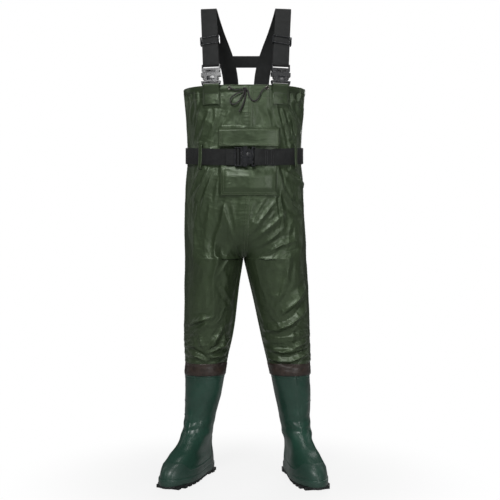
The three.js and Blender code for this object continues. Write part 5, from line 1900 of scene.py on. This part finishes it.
def make_boot(side):
    columns = 192
    t = (np.arange(columns)) / columns
    fox = foxing_top(boot_along(t, np.full(columns, FOXING_LEVEL)))
    below, above = fox - 1.6, fox + 0.4  # close rows between these carry the foxing's step
    levels = [BOOT_FOOT + v * (fox - 1.6 - BOOT_FOOT) for v in np.linspace(0, 1, 26)]
    levels += [below + v for v in (0.5, 1.0, 1.5, 2.0)]
    for v in np.linspace(0, 1, 130)[1:]:
        levels.append(above + v * (BOOT_TOP - 0.8 - fox - 0.4))
    z = np.array(levels)
    tt = np.broadcast_to(t, z.shape)
    out = boot_relief(side, tt, z, fox[None, :])
    outer = boot_point(side, tt, z, -out + 0.5)
    lip = boot_point(side, t, BOOT_TOP + 0.2, 1.3)[None]
    mouth = boot_point(side, t, BOOT_TOP + 0.2, BOOT_WALL - 0.8)[None]
    heights = np.concatenate([np.linspace(BOOT_TOP - 1, 60, 40), [52, 46, 41, 38, BOOT_FLOOR]])
    inner = np.array([boot_point(side, t, h, BOOT_WALL) for h in heights])
    rings = np.concatenate([outer, lip, mouth, inner])
    count = len(rings)
    points = rings.reshape(-1, 3)
    faces, kind = ring_faces(count, columns), []
    along = boot_along(t, np.full(columns, FOXING_LEVEL))
    for i in range(count - 1):
        for j in range(columns):
            if i < FOXING_ROWS:
                kind.append(HEEL if along[j] < BOOT_HEEL else BAND)
            else:
                kind.append(INSIDE if i >= len(outer) + 1 else UPPER)
    middle = [rings[0].mean(0), rings[-1].mean(0)]
    points = np.vstack([points, middle])
    for ring, centre, flip in ((0, len(points) - 2, True), (count - 1, len(points) - 1, False)):
        for j in range(columns):
            e = (j + 1) % columns
            a, b = ring * columns + j, ring * columns + e
            faces.append((b, a, centre) if flip else (a, b, centre))
            kind.append(UPPER if flip else INSIDE)
    if volume_of(points, faces) < 0:
        faces = [f[::-1] for f in faces]
    piece = make_piece(f"{side}_boot_upper", points, faces, [PVC, PVC_BAND, PVC_HEEL, LINING],
                       face_material=kind)
    finish_piece(piece, [f"{side}_boot"], body=f"{side}_lower_leg")


def sole_outline(t, inset):
    length = (218 + 84) / 2 - inset
    along = (218 - 84) / 2 + length * power(np.cos(2 * np.pi * t), 0.8)
    over = (foot_plan(along)[0] - inset) * power(np.sin(2 * np.pi * t), 0.8)
    return along, over


def make_sole(side):
    """The outsole with the lugs' feet carried up its edge, and a welt on top."""
    node = polish_node(f"{side}_outsole", RUBBER, 1.6)
    node.modifiers["bevel"].angle_limit = math.radians(40)
    forward, sideways = foot_ways(side)
    origin = np.array([float(shaft_x[side](30.0)[0]), 46.0, 0.0])
    columns = 640
    t = np.arange(columns) / columns
    along, over = sole_outline(t, 0.0)
    flat = origin + along[:, None] * forward + over[:, None] * sideways
    loop = np.vstack([flat, flat[:1]])
    run = run_of(loop)[:-1]
    tooth = smooth((np.sin(2 * np.pi * run / 14.0) + 0.25) / 0.5)
    profile = [(4.2, -9.0, 0), (3.2, -4.4, 1.4), (4.0, -2.6, 2.0), (7.6, -1.4, 2.0), (9.6, -1.0, 1.2),
               (10.4, -1.2, 0), (11.4, -0.2, 0), (13.2, 0.5, 0), (18.0, 1.0, 0), (24.0, 1.1, 0),
               (29.6, 0.8, 0), (30.6, 0.2, 0), (30.8, -3.0, 0)]
    steps = [(z, -(out + teeth * tooth)) for z, out, teeth in profile]
    steps += [(30.8, 8.0), (6.2, 9.4)]  # the hidden inner face
    rings = []
    for z, inset in steps:
        a, o = sole_outline(t, inset)
        p = origin + a[:, None] * forward + o[:, None] * sideways
        p[:, 2] = z
        rings.append(p)
    rings = np.array(rings)
    count = len(rings)
    faces = ring_faces(count, columns, loop=True)
    points = rings.reshape(-1, 3)
    if volume_of(points, faces) < 0:
        faces = [f[::-1] for f in faces]
    heel = along < SOLE_HEEL
    kind = [0 if not 5 <= i < 13 else 2 if heel[j] else 1 for i in range(count) for j in range(columns)]
    materials = [RUBBER, PVC_BAND, PVC_HEEL]
    piece = make_piece(f"{side}_sole_edge", points, faces, materials, face_material=kind)
    finish_piece(piece, body=f"{side}_lower_leg")


def make_tape(side):
    rows = np.linspace(TAPE_TOP + 1, BOOT_TOP - 5, 17)
    u, z = np.meshgrid(COLUMNS, rows)
    edge = np.minimum(TAPE_TOP + 1 - z, z - BOOT_TOP + 5)
    out = 0.6 + 0.9 * smooth(edge / 2.5) + 0.25 * noise(u * 60, z / 9, 51)
    outer = cloth(side, u, z, out)
    inner = cloth(side, u, z, np.full(u.shape, -0.6))
    closed = np.ones(len(rows), bool)
    uv = np.stack([u * 420, z], -1)
    tape = make_sheet(f"{side}_boot_band", outer, inner, uv, [TAPE], closed)
    finish_piece(tape, [f"{side}_boot_tape"], body=f"{side}_lower_leg")


for side in SIDES:
    make_boot(side)
    make_sole(side)
    make_tape(side)
    polish_node(f"{side}_insole", INSOLE, 1.2)

# ---- Room ------------------------------------------------------------------------------------------


def make_floor():
    bpy.ops.object.select_all(action="DESELECT")
    bpy.ops.mesh.primitive_plane_add(size=60, location=(0, 0, -SHOULDER_TOP * MM))
    floor = bpy.context.object
    floor.name = "floor"
    f = Finish("pale floor", (0.8, 0.8, 0.8), 0.6)
    grain = f.noise(f.space("Object"), 3, 4)
    f.color(f.ramp(grain, [(0.2, (0.5, 0.5, 0.5)), (0.8, (0.54, 0.54, 0.54))]))
    # the floor fades into the white of the room away from the object
    away = f.nodes.new("ShaderNodeVectorMath")
    away.operation = "LENGTH"
    f.links.new(f.coords.outputs["Object"], away.inputs[0])
    ring = f.nodes.new("ShaderNodeMapRange")
    ring.interpolation_type = "SMOOTHSTEP"
    ring.inputs["From Min"].default_value = 0.25
    ring.inputs["From Max"].default_value = 0.8
    ring.inputs["To Min"].default_value = 0.85
    f.links.new(away.outputs["Value"], ring.inputs["Value"])
    seen = f.nodes.new("ShaderNodeLightPath")
    share = f.math("MULTIPLY", ring.outputs["Result"], seen.outputs["Is Camera Ray"])
    glow = f.nodes.new("ShaderNodeEmission")
    blend = f.nodes.new("ShaderNodeMixShader")
    f.links.new(share, blend.inputs["Fac"])
    f.links.new(f.shader.outputs["BSDF"], blend.inputs[1])
    f.links.new(glow.outputs["Emission"], blend.inputs[2])
    f.links.new(blend.outputs["Shader"], f.nodes["Material Output"].inputs["Surface"])
    floor.data.materials.append(f.material)


def make_light(name, place, at, size, power_watts):
    data = bpy.data.lights.new(name, "AREA")
    data.shape = "RECTANGLE"
    data.size, data.size_y = size
    data.energy = power_watts
    light = bpy.data.objects.new(name, data)
    light.location = place
    light.rotation_euler = (Vector(at) - Vector(place)).to_track_quat("-Z", "Y").to_euler()
    bpy.context.scene.collection.objects.link(light)
    light.visible_camera = False


def make_world():
    world = bpy.data.worlds.new("world")
    world.use_nodes = True
    nodes, links = world.node_tree.nodes, world.node_tree.links
    seen = nodes.new("ShaderNodeLightPath")
    back = nodes["Background"]
    strength = nodes.new("ShaderNodeMapRange")
    strength.inputs["To Min"].default_value = 0.05
    strength.inputs["To Max"].default_value = 1.0
    links.new(seen.outputs["Is Camera Ray"], strength.inputs["Value"])
    links.new(strength.outputs["Result"], back.inputs["Strength"])
    back.inputs["Color"].default_value = (1, 1, 1, 1)
    bpy.context.scene.world = world


make_floor()
make_world()
make_light("key", (-0.9, -2.9, 1.3), (0, 0, -0.5), (1.1, 1.2), 74)
make_light("fill", (1.5, -2.7, -0.2), (0, 0, -0.8), (0.5, 1.8), 22)
make_light("left_rim", (-2.2, 0.9, 0.1), (0, 0, -0.7), (0.4, 2.2), 4)
make_light("right_rim", (2.2, 0.9, 0.1), (0, 0, -0.7), (0.4, 2.2), 4)
make_light("top", (0.3, -0.5, 1.9), (0, 0, -0.6), (1.0, 0.9), 16)
make_light("back", (0.6, 3.0, 0.8), (0, 0, -0.6), (1.6, 2.0), 38)
bpy.context.scene.view_settings.view_transform = "Standard"
